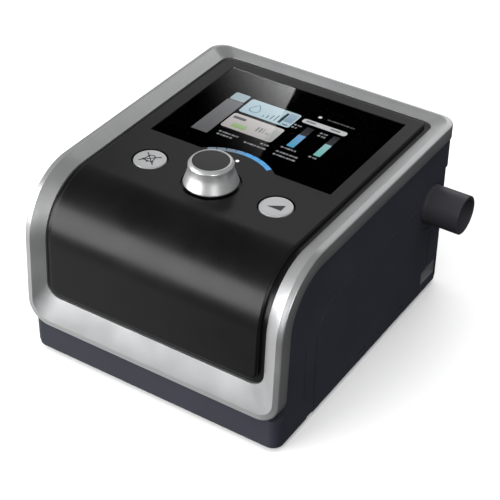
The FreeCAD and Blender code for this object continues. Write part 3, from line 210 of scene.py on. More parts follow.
# %% [markdown]
# A polished window mirrors one small part of the room. In a studio that part is filled on purpose: a
# black flag keeps most of the window deep and dark, and a pale card beside it lays one slanting sheen
# over a corner. Both hang above and behind the machine, and only reflections see them.

# %% Flag and card above the window
CARD_HEIGHT, SHEEN_POWER, SHEEN_LIGHT = 0.5034, 3.0, 2.25


def hanging_card(name, corners, colour, brightest=None, darkest=None):
    """Flat card whose light grows as a power of the way from one floor place to another, or an even one."""
    mesh = bpy.data.meshes.new(name)
    mesh.from_pydata([(x, y, CARD_HEIGHT) for x, y in corners], [], [tuple(range(len(corners)))])
    card = bpy.data.objects.new(name, mesh)
    bpy.context.scene.collection.objects.link(card)
    card.visible_camera = card.visible_diffuse = card.visible_shadow = False
    material = bpy.data.materials.new(name)
    material.use_nodes = True
    tree = material.node_tree
    tree.nodes.clear()
    light = tree.nodes.new("ShaderNodeEmission")
    output = tree.nodes.new("ShaderNodeOutputMaterial")
    tree.links.new(light.outputs[0], output.inputs[0])
    light.inputs["Color"].default_value = (*colour, 1)
    if brightest is None:
        light.inputs["Strength"].default_value = 1.0
    else:
        start, stop = np.array(darkest), np.array(brightest)
        along = (stop - start) / ((stop - start) @ (stop - start))
        place = tree.nodes.new("ShaderNodeTexCoord")
        share = tree.nodes.new("ShaderNodeVectorMath")
        share.operation = "DOT_PRODUCT"
        share.inputs[1].default_value = (*along, 0)
        fade = tree.nodes.new("ShaderNodeMapRange")
        fade.inputs["From Min"].default_value = start @ along
        fade.inputs["From Max"].default_value = stop @ along
        curve = tree.nodes.new("ShaderNodeMath")
        curve.operation = "POWER"
        curve.inputs[1].default_value = SHEEN_POWER
        strength = tree.nodes.new("ShaderNodeMath")
        strength.operation = "MULTIPLY"
        strength.inputs[1].default_value = SHEEN_LIGHT
        tree.links.new(place.outputs["Object"], share.inputs[0])
        tree.links.new(share.outputs["Value"], fade.inputs["Value"])
        tree.links.new(fade.outputs["Result"], curve.inputs[0])
        tree.links.new(curve.outputs[0], strength.inputs[0])
        tree.links.new(strength.outputs[0], light.inputs["Strength"])
    mesh.materials.append(material)


CARD_LEFT, FLAG_RIGHT, CARD_FRONT, CARD_REAR = -0.50, -0.19, 0.4763, 0.7055
edge_front, edge_rear = (-0.3147, CARD_FRONT), (-0.3834, CARD_REAR)
hanging_card("pale_card", [(CARD_LEFT, CARD_FRONT), edge_front, edge_rear, (CARD_LEFT, CARD_REAR)],
             (1.0, 1.0, 1.0), brightest=(-0.3438, 0.6314), darkest=(-0.4219, 0.5456))
hanging_card("black_flag", [edge_front, (FLAG_RIGHT, CARD_FRONT), (FLAG_RIGHT, CARD_REAR), edge_rear],
             (0.0, 0.0, 0.0))
print("card and flag at", CARD_HEIGHT, "m")

# %% [markdown]
# ## Meshes from arrays
# Every new piece is a grid of points from a formula, with faces that join neighbours. One function
# writes the mesh: it takes the points in millimetres, makes sure by the signed volume that a closed
# surface faces outwards, shades it smoothly below a given angle, and lets the piece ride on its body.

# %% Grid and mesh helpers
def grid_faces(rows, columns, close_rows=False, close_columns=False):
    """Quads between the neighbours of a rows-by-columns grid; a closed direction joins its two ends."""
    index = np.arange(rows * columns).reshape(rows, columns)
    if close_rows:
        index = np.vstack([index, index[:1]])
    if close_columns:
        index = np.hstack([index, index[:, :1]])
    return np.stack([index[:-1, :-1], index[:-1, 1:], index[1:, 1:], index[1:, :-1]], axis=-1).reshape(-1, 4)


def signed_volume(points, faces):
    """Sum of the tetrahedra from the origin to each fanned face: positive when faces point outwards."""
    total = 0.0
    for group in faces:
        group = np.asarray(group)
        corners = points[group]
        for k in range(1, corners.shape[1] - 1):
            crossed = np.cross(corners[:, k], corners[:, k + 1])
            total += np.einsum("ij,ij->i", corners[:, 0], crossed).sum() / 6
    return total


def mesh_of(name, points, faces):
    """Mesh from millimetre points and arrays of faces, one length of face to an array, facing outwards."""
    points = np.asarray(points, float)
    middle = points.mean(axis=0)
    if signed_volume(points - middle, faces) < 0:
        faces = [np.asarray(group)[:, ::-1] for group in faces]
    mesh = bpy.data.meshes.new(name)
    mesh.from_pydata((points * MM).tolist(), [], [f for group in faces for f in np.asarray(group).tolist()])
    mesh.validate()
    return mesh


def smooth(mesh, angle=32):
    """Smooth shading, except across edges sharper than the angle."""
    mesh.polygons.foreach_set("use_smooth", np.ones(len(mesh.polygons), bool))
    mesh.set_sharp_from_angle(angle=np.radians(angle))
    mesh.update()


def add_piece(name, mesh, body, slot, material, *nodes, angle=32):
    """Object for a finished mesh: it rides on a body, takes its finish and stands for the CAD nodes named."""
    smooth(mesh, angle)
    thing = bpy.data.objects.new(name, mesh)
    bpy.context.scene.collection.objects.link(thing)
    mesh.materials.append(material)
    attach(thing, body)
    if nodes:
        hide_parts(*nodes)
    print(f"{name}: {len(mesh.vertices)} points, {len(mesh.polygons)} faces")
    return thing


# %% [markdown]
# ## Finishes
# Moulded plastic, satin paint, gloss black, turned metal, rubber and copper look different for three
# reasons: how much colour they have, how sharply they reflect, and how flat they are at a fine scale.
# One builder covers them all. Slow noise lets the colour and the gloss drift, fine noise goes into the
# bump as grain, and a few specks or brush lines come on top where the real finish has them.

# %% One builder for all finishes
SLOW_SIZE, GLOSS_DRIFT = 22, 0.12


def finish(name, colour, rough, metal=0.0, grain=0.25, bump=0.02, drift=0.08, specular=0.5,
           stretch=(1, 1, 1), dust=0.0, glow=None):
    """Principled finish: grain is the size of the texture in millimetres, bump its height in millimetres."""
    material = bpy.data.materials.new(name)
    material.use_nodes = True
    tree = material.node_tree
    shader = tree.nodes["Principled BSDF"]
    shader.inputs["Metallic"].default_value = metal
    shader.inputs["Specular IOR Level"].default_value = specular
    place = tree.nodes.new("ShaderNodeTexCoord")
    mapping = tree.nodes.new("ShaderNodeMapping")
    mapping.inputs["Scale"].default_value = stretch
    tree.links.new(place.outputs["Object"], mapping.inputs["Vector"])

    def noise(size, detail):
        texture = tree.nodes.new("ShaderNodeTexNoise")
        texture.inputs["Scale"].default_value = 1 / (size * MM)
        texture.inputs["Detail"].default_value = detail
        tree.links.new(mapping.outputs["Vector"], texture.inputs["Vector"])
        return texture.outputs["Fac"]

    slow = noise(SLOW_SIZE, 3)
    fine = noise(grain, 2)
    tint = tree.nodes.new("ShaderNodeValToRGB")
    tint.color_ramp.elements[0].position = 0.3
    tint.color_ramp.elements[1].position = 0.7
    tint.color_ramp.elements[0].color = (*[c * (1 - drift) for c in colour], 1)
    tint.color_ramp.elements[1].color = (*[min(1, c * (1 + drift)) for c in colour], 1)
    tree.links.new(slow, tint.inputs["Fac"])
    if dust:
        specks = tree.nodes.new("ShaderNodeMix")
        specks.data_type = "RGBA"
        specks.blend_type = "ADD"
        dots = tree.nodes.new("ShaderNodeValToRGB")
        dots.color_ramp.elements[0].position = 0.58
        dots.color_ramp.elements[0].color = (0, 0, 0, 1)
        dots.color_ramp.elements[1].position = 0.75
        dots.color_ramp.elements[1].color = (dust, dust, dust, 1)
        tree.links.new(fine, dots.inputs["Fac"])
        specks.inputs["Factor"].default_value = 1.0
        tree.links.new(tint.outputs["Color"], specks.inputs["A"])
        tree.links.new(dots.outputs["Color"], specks.inputs["B"])
        tree.links.new(specks.outputs["Result"], shader.inputs["Base Color"])
    else:
        tree.links.new(tint.outputs["Color"], shader.inputs["Base Color"])
    gloss = tree.nodes.new("ShaderNodeMapRange")
    gloss.inputs["From Min"].default_value = 0.3
    gloss.inputs["From Max"].default_value = 0.7
    gloss.inputs["To Min"].default_value = rough * (1 - GLOSS_DRIFT)
    gloss.inputs["To Max"].default_value = min(1.0, rough * (1 + GLOSS_DRIFT))
    tree.links.new(slow, gloss.inputs["Value"])
    tree.links.new(gloss.outputs["Result"], shader.inputs["Roughness"])
    relief = tree.nodes.new("ShaderNodeBump")
    relief.inputs["Distance"].default_value = bump * MM
    tree.links.new(fine, relief.inputs["Height"])
    tree.links.new(relief.outputs["Normal"], shader.inputs["Normal"])
    if glow:
        shader.inputs["Emission Color"].default_value = (*glow[0], 1)
        shader.inputs["Emission Strength"].default_value = glow[1]
    return material


print("slow noise of", SLOW_SIZE, "mm under every finish")

# %% [markdown]
# The slots of the CAD nodes name the real materials, and each gets its finish here. The case is fine
# textured plastic, so its grain is strong and its gloss low. The frame is satin paint over plastic,
# which reads as metal with a few bright flakes. The panel is nearly black and glossy.

# %% List of finishes
FINISHES = {
    "case_plastic": finish("case_plastic", (0.031, 0.0325, 0.0435), 0.52, grain=0.45, bump=0.03,
                           specular=0.25, dust=0.01),
    "silver_paint": finish("silver_paint", (0.56, 0.565, 0.57), 0.36, metal=0.85, grain=0.12, bump=0.006,
                           drift=0.03, dust=0.05),
    "black_panel": finish("black_panel", (0.003, 0.003, 0.0033), 0.30, grain=0.3, bump=0.004, drift=0.2,
                          specular=0.34),
    "dark_glass": finish("dark_glass", (0.004, 0.004, 0.005), 0.04, grain=2.0, bump=0.002),
    "display": finish("display", (0.003, 0.003, 0.004), 0.3, grain=0.2, bump=0.002, specular=0.0),
    "light_guide": finish("light_guide", (0.07, 0.33, 0.70), 0.35, grain=0.5, bump=0.01),
    "knob_metal": finish("knob_metal", (0.64, 0.645, 0.65), 0.36, metal=0.8, grain=0.15, bump=0.0015,
                         drift=0.03, stretch=(1, 1, 5)),
    "pale_plastic": finish("pale_plastic", (0.42, 0.42, 0.41), 0.45, grain=0.4, bump=0.015),
    "connector_grey": finish("connector_grey", (0.105, 0.105, 0.115), 0.34, grain=0.3, bump=0.01),
    "contact_brass": finish("contact_brass", (0.75, 0.52, 0.2), 0.25, metal=1.0, grain=0.1, bump=0.005),
    "outlet_plastic": finish("outlet_plastic", (0.035, 0.0345, 0.040), 0.42, grain=0.35, bump=0.02,
                             specular=0.35, dust=0.006),
    "rubber": finish("rubber", (0.018, 0.018, 0.018), 0.75, grain=0.5, bump=0.04),
    "steel": finish("steel", (0.6, 0.6, 0.6), 0.3, metal=1.0, grain=0.1, bump=0.004),
    "inner_plastic": finish("inner_plastic", (0.16, 0.16, 0.165), 0.5, grain=0.5, bump=0.02),
    "circuit_board": finish("circuit_board", (0.012, 0.09, 0.03), 0.35, grain=0.8, bump=0.01, drift=0.3),
    "aluminium_can": finish("aluminium_can", (0.7, 0.7, 0.72), 0.3, metal=1.0, grain=0.1, bump=0.004),
    "ribbon": finish("ribbon", (0.5, 0.3, 0.08), 0.35, grain=0.6, bump=0.01),
    "silicone": finish("silicone", (0.55, 0.55, 0.52), 0.5, grain=0.6, bump=0.02),
    "foam": finish("foam", (0.03, 0.03, 0.033), 0.95, grain=0.9, bump=0.25, drift=0.3),
    "copper": finish("copper", (0.62, 0.24, 0.09), 0.28, metal=1.0, grain=0.25, bump=0.03),
}
print(len(FINISHES), "finishes")

# %% [markdown]
# ## The bent skin
# The silver bezel and the black panel are two sheets bent to one shape: flat on top, a round crown, and
# a face that leans slightly. It is easier to draw them flat and bend them afterwards. A flat point has
# x, q and a depth: q runs back along the top from the start of the crown, and negative q goes over the
# crown and down the face.

# %% Bend flat points over the crown
CROWN = 36.4
LEAN = np.radians(3.2)
SWEEP = np.pi / 2 - LEAN
face_drop = skin_top - CROWN + CROWN * np.sin(LEAN) - bezel_low[2]
crown_start = bezel_low[1] + CROWN * np.cos(LEAN) + face_drop * np.tan(LEAN)


def bend(x, q, depth):
    """Flat x and q to the bent sheet: straight behind the crown, a circle of radius CROWN less depth over
    it, and straight again down the leaning face."""
    x, q, depth = np.broadcast_arrays(x, q, depth)
    angle = np.clip(-q / CROWN, 0, SWEEP)
    straight = np.maximum(q, 0)
    down = np.maximum(-q - CROWN * SWEEP, 0)
    reach = CROWN - depth
    y = crown_start + straight - reach * np.sin(angle) - down * np.sin(LEAN)
    z = skin_top - CROWN + reach * np.cos(angle) - down * np.cos(LEAN)
    return np.stack([mid_x + x, y, z], axis=-1)


def flat_q(y):
    """q of a place on the flat top."""
    return y - crown_start


def face_q(z, depth=0.0):
    """q of a height on the leaning face, for a sheet at a depth."""
    tangent = skin_top - CROWN + (CROWN - depth) * np.sin(LEAN)
    return -CROWN * SWEEP - (tangent - z) / np.cos(LEAN)


print("skin from q", round(face_q(bezel_low[2]), 2), "to", round(flat_q(bezel_high[1]), 2))

# %% [markdown]
# Both sheets have the outline of a rounded rectangle. It is drawn as four sides, each from the middle
# of one corner to the middle of the next, always with the same number of points, so that two outlines of
# different size can be mixed point by point.

# %% Rounded outlines and closed rings
LONG, WIDE, BEND = 170, 76, 8


def outline(half, low, high, round_low, round_high):
    """Rounded rectangle in the flat sheet as (x, q) points: arcs at the corners, even steps between."""
    def arc(side, q, radius, start):
        t = np.radians(np.linspace(start, start + 45, BEND, endpoint=False))
        return np.column_stack([side * (half - radius) + radius * np.cos(t), q + radius * np.sin(t)])

    def run(start, stop, count):
        t = np.linspace(0, 1, count, endpoint=False)[:, None]
        return np.array(start) * (1 - t) + np.array(stop) * t

    front, rear = low + round_low, high - round_high
    return np.vstack([
        arc(1, front, round_low, -45), run((half, front), (half, rear), LONG),
        arc(1, rear, round_high, 0), arc(1, rear, round_high, 45),
        run((half - round_high, high), (round_high - half, high), WIDE),
        arc(-1, rear, round_high, 90), arc(-1, rear, round_high, 135),
        run((-half, rear), (-half, front), LONG),
        arc(-1, front, round_low, 180), arc(-1, front, round_low, 225),
        run((round_low - half, low), (half - round_low, low), WIDE),
        arc(1, front, round_low, 270),
    ])


def rings(rows):
    """Stack of (outline, depth) rows bent over the crown, as a rows-by-points grid."""
    return np.stack([bend(flat[:, 0], flat[:, 1], depth) for flat, depth in rows])


print("outline of", 8 * BEND + 2 * (LONG + WIDE), "points")

# %% [markdown]
# ## Silver bezel
# On the real machine this is one painted frame. Its section has a flat side, a narrow outer bevel, a
# ridge, and a wide face that slopes down to the black panel. Three outlines carry that section round the
# whole frame: outer edge, ridge and inner edge. Every row of the mesh is a mix of two of them at its own
# depth, so the wide lower rail and the narrow rear rail come out of the same few numbers.

# %% Bezel
bezel_half = (bezel_high[0] - bezel_low[0]) / 2
BEZEL_DEEP = 8.5
BEVEL_SIDE, BEVEL_FOOT, BEVEL_REAR = 3.2, 3.4, 2.2
SIDE_WIDTH, LOWER_RAIL_TOP, REAR_WIDTH = 10.8, 39.1, 6.5
foot_q, rear_q = face_q(bezel_low[2]), flat_q(bezel_high[1])
OUTER = outline(bezel_half, foot_q, rear_q, 13.0, 9.0)
RIDGE = outline(bezel_half - BEVEL_SIDE, foot_q + BEVEL_FOOT, rear_q - BEVEL_REAR, 10.0, 7.4)
INNER = outline(bezel_half - SIDE_WIDTH, face_q(LOWER_RAIL_TOP), flat_q(bezel_high[1] - REAR_WIDTH), 8.0, 6.0)

# Each row: which pair of outlines it lies between, how far from the first to the second, and its depth.
SECTION = [
    (0, 0.06, BEZEL_DEEP), (0, 0.0, BEZEL_DEEP - 0.3), (0, 0.0, 4.2), (0, 0.0, 1.15), (0, 0.025, 0.78),
    (0, 0.10, 0.55), (0, 0.20, 0.45), (0, 0.55, 0.25), (0, 0.93, 0.05), (0, 0.98, 0.012), (1, 0.0, 0.0),
    (1, 0.015, 0.02), (1, 0.04, 0.09), (1, 0.5, 1.75), (1, 0.985, 3.49), (1, 0.998, 3.54), (1, 1.0, 3.62),
    (1, 1.0, 5.6), (1, 1.0, BEZEL_DEEP),
]
pairs = ((OUTER, RIDGE), (RIDGE, INNER))
rows = [(pairs[p][0] * (1 - mix) + pairs[p][1] * mix, depth) for p, mix, depth in SECTION]
bezel_points = rings(rows)
bezel_mesh = mesh_of("bezel", bezel_points.reshape(-1, 3),
                     [grid_faces(len(rows), len(OUTER), close_rows=True, close_columns=True)])
add_piece("bezel", bezel_mesh, "case", "silver_paint", FINISHES["silver_paint"], "bezel_frame", angle=50)

# %% [markdown]
# ## Front panel
# One bent sheet of gloss black: a raised pad with a rounded rim, and a thin flange round it in a shadow
# gap. The pad's top is a Coons patch, which fills a closed outline with a regular grid from its four
# sides. The round and square openings are cut with one boolean, because they all lie in the flat part,
# where a cut leaves the shading alone.

# %% Coons patch
def coons(ring):
    """Fill of a closed outline: the mix of opposite side points both ways, less the mix of the corners."""
    n, m = LONG + 2 * BEND, WIDE + 2 * BEND
    right, rear = ring[:n + 1], ring[n:n + m + 1][::-1]
    left = ring[n + m:2 * n + m + 1][::-1]
    front = np.vstack([ring[2 * n + m:], ring[:1]])
    u = np.linspace(0, 1, m + 1)[None, :, None]
    v = np.linspace(0, 1, n + 1)[:, None, None]
    sides = (1 - u) * left[:, None] + u * right[:, None] + (1 - v) * front[None] + v * rear[None]
    corners = ((1 - u) * (1 - v) * front[0] + u * (1 - v) * front[-1]
               + (1 - u) * v * rear[0] + u * v * rear[-1])
    return sides - corners


def fill(ring, first, start):
    """Inner points of the patch and its faces; first is the ring's first index, start the first free."""
    n, m = LONG + 2 * BEND, WIDE + 2 * BEND
    flat = coons(ring)
    index = np.zeros((n + 1, m + 1), int)
    around = first + np.arange(2 * (n + m))
    index[:, -1] = around[:n + 1]
    index[-1, :] = around[n:n + m + 1][::-1]
    index[:, 0] = around[n + m:2 * n + m + 1][::-1]
    index[0, :] = np.append(around[2 * n + m:], around[0])
    index[1:-1, 1:-1] = start + np.arange((n - 1) * (m - 1)).reshape(n - 1, m - 1)
    faces = np.stack([index[:-1, :-1], index[:-1, 1:], index[1:, 1:], index[1:, :-1]], axis=-1).reshape(-1, 4)
    return flat[1:-1, 1:-1].reshape(-1, 2), faces


print("patch of", (LONG + 2 * BEND) * (WIDE + 2 * BEND), "faces")

# %% [markdown]
# The sheet is built as closed rows from the underside out to the flange, up its edge, inwards to the
# pad and over the pad's quarter-round rim. The two patches close it below and above.

# %% Panel sheet
SHEET_THICK, RIM = 3.0, 1.3
flange_half = (panel_high[0] - panel_low[0]) / 2
flange_rear = panel_high[1]
pad_depth = skin_top - panel_top
sheet_depth = pad_depth + SHEET_THICK


def panel_outline(inset, extra=0.0):
    """Outline of the panel, a distance in from the flange's edge."""
    return outline(flange_half - inset, face_q(panel_low[2], 2.0) + inset, flat_q(flange_rear) - inset,
                   max(7.7 - inset, 0.8) + extra, max(5.7 - inset, 0.8) + extra)


turns = np.radians(np.linspace(0, 90, 7))
panel_rows = [(panel_outline(0.2), sheet_depth), (panel_outline(0.0), sheet_depth - 0.2),
              (panel_outline(0.0), 4.6), (panel_outline(0.2), 4.4), (panel_outline(2.5, 0.9), 4.4),
              (panel_outline(2.75, 1.0), 4.2)]
panel_rows += [(panel_outline(2.8 + RIM * (1 - np.cos(t)), 1.0), pad_depth + RIM * (1 - np.sin(t)))
               for t in turns]
count = len(panel_rows[0][0])
ring_points = rings(panel_rows).reshape(-1, 3)
under, under_faces = fill(panel_rows[0][0], 0, len(ring_points))
over, over_faces = fill(panel_rows[-1][0], (len(panel_rows) - 1) * count, len(ring_points) + len(under))
panel_points = np.vstack([ring_points, bend(under[:, 0], under[:, 1], sheet_depth),
                          bend(over[:, 0], over[:, 1], pad_depth)])
side_faces = grid_faces(len(panel_rows), count, close_columns=True)
panel_mesh = mesh_of("panel_blank", panel_points, [side_faces, over_faces, under_faces[:, ::-1]])
print("panel blank", len(panel_mesh.vertices), "points")

# %% [markdown]
# The openings are upright prisms on flat outlines. The window's front edge has a round bite that runs
# with the dial, and the dial's light guide shows through a ring segment inside that bite.

# %% Outlines of the openings
knob = centre("control_knob")
window_low, window_high = span("display_window")
DIAL_WIDTH, DIAL_FROM, DIAL_TO = 2.7, 55.0, 128.0
dial_outer = span("dial_light_guide")[1][1] - knob[1]
dial_inner = dial_outer - DIAL_WIDTH


def circle(x, y, radius, count=96):
    """Points evenly round a circle."""
    t = np.linspace(0, 2 * np.pi, count, endpoint=False)
    return np.column_stack([x + radius * np.cos(t), y + radius * np.sin(t)])


def window_outline(margin):
    """Window seen from above: a rectangle whose front edge has a round bite concentric with the knob."""
    low, high = window_low[:2] - margin, window_high[:2] + margin
    bite = dial_outer + 0.2 - margin
    reach = np.arccos((low[1] - knob[1]) / bite)
    t = np.linspace(reach, -reach, 49)
    curve = np.column_stack([knob[0] - bite * np.sin(t), knob[1] + bite * np.cos(t)])
    return np.vstack([[low[0], low[1]], curve, [high[0], low[1]], [high[0], high[1]], [low[0], high[1]]])


def sector(first, last, inner, outer, count=40):
    """Ring segment between two angles, round the knob."""
    t = np.radians(np.linspace(first, last, count))
    ring = np.column_stack([np.cos(t), np.sin(t)])
    return knob[:2] + np.vstack([outer * ring, inner * ring[::-1]])


def prism(flat, low, high):
    """Upright prism on a closed outline: points, side faces and the two caps."""
    n = len(flat)
    points = np.vstack([np.column_stack([flat, np.full(n, z)]) for z in (low, high)])
    caps = np.array([np.arange(n)[::-1], np.arange(n) + n])
    return points, grid_faces(2, n, close_columns=True), caps


BUTTON_RADIUS, BUTTON_GAP, DIAL_GAP, WINDOW_GAP = 8.7, 0.85, 0.1, 0.15
KNOB_RECESS, RECESS_DEEP, LIGHT_HOLE = 15.6, 1.4, 1.0
deep, above = panel_top - 12, panel_top + 2
buttons = {name: centre(name) for name in ("mute_button", "ramp_button")}
holes = [prism(window_outline(WINDOW_GAP), deep, above),
         prism(sector(DIAL_FROM, DIAL_TO, dial_inner - DIAL_GAP, dial_outer + DIAL_GAP), deep, above),
         prism(circle(knob[0], knob[1], KNOB_RECESS), panel_top - RECESS_DEEP, above),
         prism(circle(*centre("index_light_pipe")[:2], LIGHT_HOLE, 32), deep, above)]
holes += [prism(circle(place[0], place[1], BUTTON_RADIUS + BUTTON_GAP), deep, above)
          for place in buttons.values()]
print(len(holes), "openings")

# %% [markdown]
# One exact boolean takes all the prisms away at once. Its result replaces the mesh, and a weighted
# normal modifier keeps the flat parts flat in the shading although their faces differ in size.

# %% Cut the openings
def cut(mesh, tools):
    """The mesh less a list of prisms, by one exact boolean that is applied at once."""
    start, points, faces = 0, [], []
    for tool_points, sides, caps in tools:
        points.append(tool_points)
        faces += (sides + start).tolist() + (caps + start).tolist()
        start += len(tool_points)
    tool_mesh = bpy.data.meshes.new("tools")
    tool_mesh.from_pydata((np.vstack(points) * MM).tolist(), [], faces)
    thing = bpy.data.objects.new("blank", mesh)
    tool = bpy.data.objects.new("tool", tool_mesh)
    for one in (thing, tool):
        bpy.context.scene.collection.objects.link(one)
    boolean = thing.modifiers.new("cut", "BOOLEAN")
    boolean.operation, boolean.solver, boolean.object = "DIFFERENCE", "EXACT", tool
    boolean.use_self = True
    result = bpy.data.meshes.new_from_object(thing.evaluated_get(bpy.context.evaluated_depsgraph_get()))
    for one in (thing, tool):
        bpy.data.objects.remove(one)
    return result


panel_cut = cut(panel_mesh, holes)
panel_cut.name = "panel"
panel = add_piece("panel", panel_cut, "case", "black_panel", FINISHES["black_panel"], "front_panel", angle=40)
weights = panel.modifiers.new("even_flats", "WEIGHTED_NORMAL")
weights.keep_sharp = True

# %% [markdown]
# ## Turned pieces
# The knob, the buttons and the air outlet are all bodies of revolution: a profile of radius and height,
# carried round an axis. A profile that starts and ends on the axis gets one single point at each pole.

# %% Revolve a profile
def revolve(profile, place, count=128, axis="z"):
    """Profile of (radius, height) turned about an axis; radius 0 at an end gives a closed pole."""
    profile = np.asarray(profile, float)
    t = np.linspace(0, 2 * np.pi, count, endpoint=False)
    poles = profile[[0, -1]][profile[[0, -1], 0] == 0]
    body = profile[profile[:, 0] > 0]
    ring = np.stack([body[:, :1] * np.cos(t), body[:, :1] * np.sin(t), np.repeat(body[:, 1:], count, 1)], -1)
    points = ring.reshape(-1, 3)
    faces = [grid_faces(len(body), count, close_rows=len(poles) == 0, close_columns=True)]
    for k, pole in enumerate(poles):
        start = 0 if k == 0 else (len(body) - 1) * count
        around = start + np.arange(count)
        fan = np.column_stack([around, np.roll(around, -1), np.full(count, len(points))])
        faces.append(fan[:, ::-1] if k == 0 else fan)
        points = np.vstack([points, [0, 0, pole[1]]])
    if axis == "x":
        points = points[:, [2, 0, 1]]
    return points + np.asarray(place), faces


def rounded(corner_list, radius, steps=5):
    """Profile with its inner corners rounded: each becomes a quadratic curve from a radius before it."""
    points = np.asarray(corner_list, float)
    made = [points[0]]
    for before, here, after in zip(points[:-2], points[1:-1], points[2:]):
        a, b = before - here, after - here
        cut_a = min(radius, np.hypot(*a) / 2) * a / np.hypot(*a)
        cut_b = min(radius, np.hypot(*b) / 2) * b / np.hypot(*b)
        t = np.linspace(0, 1, steps)[:, None]
        made += list(here + cut_a * (1 - t) ** 2 + cut_b * t ** 2)
    return np.array(made + [points[-1]])


print("profiles turn about z, or about x")

# %% [markdown]
# ## Knob
# A satin metal cap: the skirt flares out towards the panel, the waist above it is nearly straight, and a
# bevelled rim closes the top. The flare is a softly bent line: the logarithm of one plus an exponential,
# which is flat above the bend and straight below it. The dark disc in the top is a separate piece.

# %% Knob and its disc
knob_low, knob_high = span("control_knob")
foot, top = knob_low[2], knob_high[2]
WAIST, FLARE, FLARE_BEND, FLARE_SOFT = 11.65, 0.33, 3.4, 0.9
FOOT_GAP, RIM_TALL, DISC_SINK, DISC_RADIUS = 1.1, 1.5, 1.15, 9.5
drop = np.linspace(10.5, 0.6, 30)
flare = WAIST + FLARE * np.log1p(np.exp((drop - FLARE_BEND) / FLARE_SOFT))
skirt = np.column_stack([flare, top - RIM_TALL - drop])
rim = rounded([(11.66, top - 1.9), (11.68, top - 1.45), (10.45, top - 0.12), (10.0, top), (9.62, top)],
              0.5, 7)
under = foot + FOOT_GAP
knob_profile = np.vstack([[(0, under), (13.3, under), (13.85, under + 0.15), (14.15, under + 0.5)],
                          skirt, rim, [(9.6, top - 0.3), (9.58, top - DISC_SINK), (0, top - DISC_SINK)]])
knob_points, knob_faces = revolve(knob_profile, (knob[0], knob[1], 0), 160)
add_piece("knob", mesh_of("knob", knob_points, knob_faces), "knob", "knob_metal", FINISHES["knob_metal"],
          "control_knob", angle=45)
FINISHES["knob_disc"] = finish("knob_disc", (0.022, 0.022, 0.0225), 0.55, grain=0.2, bump=0.006, specular=0.3)
disc_foot = top - DISC_SINK + 0.01
disc_profile = rounded([(0, disc_foot), (DISC_RADIUS, disc_foot), (DISC_RADIUS, top - 0.34), (0, top - 0.28)],
                       0.15)
disc_points, disc_faces = revolve(disc_profile, (knob[0], knob[1], 0))
add_piece("knob_disc", mesh_of("knob_disc", disc_points, disc_faces), "knob", "black_panel",
          FINISHES["knob_disc"], "knob_cap")

# %% [markdown]
# ## Buttons
# Two slightly domed discs in painted plastic, each in a narrow dark ring. Their symbols are the ones
# that such machines share: a crossed bell that silences the alarm, and a rising wedge for the slow
# start of the pressure. They are thin prints, a few hundredths of a millimetre thick.

# %% Buttons
FINISHES["button_paint"] = finish("button_paint", (0.45, 0.455, 0.46), 0.33, metal=0.55, grain=0.12,
                                  bump=0.005, drift=0.03)
FINISHES["print"] = finish("print", (0.02, 0.02, 0.022), 0.6, grain=0.1, bump=0.002)
CREST, BUTTON_DEEP = 0.32, 5.0
for name, place in buttons.items():
    base, lip = panel_top - BUTTON_DEEP, panel_top - 0.25
    dome_r = np.linspace(BUTTON_RADIUS - 0.5, 0, 9)
    dome_z = panel_top - 0.02 + CREST * (1 - (dome_r / BUTTON_RADIUS) ** 2)
    profile = np.vstack([[(0, base), (BUTTON_RADIUS, base), (BUTTON_RADIUS, lip - 0.25),
                          (BUTTON_RADIUS - 0.12, lip + 0.02), (BUTTON_RADIUS - 0.3, lip + 0.18)],
                         np.column_stack([dome_r, dome_z])])
    points, faces = revolve(profile, (place[0], place[1], 0), 96)
    add_piece(f"{name}_disc", mesh_of(name, points, faces), name, "knob_metal", FINISHES["button_paint"],
              name)

# %% [markdown]
# A symbol is drawn with bars and small outlines in a button's own millimetres, and every outline is
# raised to a low prism that sits half in the dome. The bell is a closed stroke with a clapper.

# %% Symbols on the buttons
PRINT_TALL, LINE = 0.10, 0.55


def bar(start, stop, thick):
    """Four corners of a straight bar between two points."""
    start, stop = np.array(start, float), np.array(stop, float)
    side = (stop - start)[::-1] * [-1, 1] / np.hypot(*(stop - start)) * thick / 2
    return np.array([start - side, stop - side, stop + side, start + side])


def printed(name, shapes, place, body):
    """Flat outlines as one thin print on a button's dome."""
    points, faces, start = [], [], 0
    for flat in shapes:
        low = panel_top + CREST - 0.06
        p, sides, caps = prism(np.asarray(flat) + place[:2], low, low + PRINT_TALL)
        points.append(p)
        faces += [sides + start] + [caps + start]
        start += len(p)
    add_piece(name, mesh_of(name, np.vstack(points), faces), body, "black_panel", FINISHES["print"])


def stroke(path, thick):
    """A closed path drawn as a row of bars."""
    path = np.asarray(path, float)
    return [bar(here, there, thick) for here, there in zip(path, np.roll(path, -1, axis=0))]


bell_t = np.linspace(0, np.pi, 9)
bell = np.vstack([[(-3.3, -2.2), (3.3, -2.2), (2.3, -0.9)],
                  np.column_stack([2.1 * np.cos(bell_t), 0.9 + 2.3 * np.sin(bell_t)]), [(-2.3, -0.9)]])
clapper = circle(0, -2.9, 0.6, 16)
crosses = [bar((-4.3, -4.0), (4.3, 4.2), LINE), bar((-4.3, 4.2), (4.3, -4.0), LINE)]
printed("mute_mark", [*stroke(bell, LINE), clapper, *crosses], buttons["mute_button"], "mute_button")
printed("ramp_mark", [[(-3.9, -2.2), (3.9, -2.2), (3.9, 2.6)]], buttons["ramp_button"], "ramp_button")

# %% [markdown]
# ## Dial segments and index light
# The light guide behind the arc is clear plastic, lit blue on the right and unlit on the left. The
# unlit left part is still given a faint grey glow, which is painted light. The change lies a little left
# of the knob's middle, so the finish mixes two colours by the place along x.

# %% Lit arc
FADE_FROM, FADE_TO, ARC_LIGHT = -8, 2, 0.85


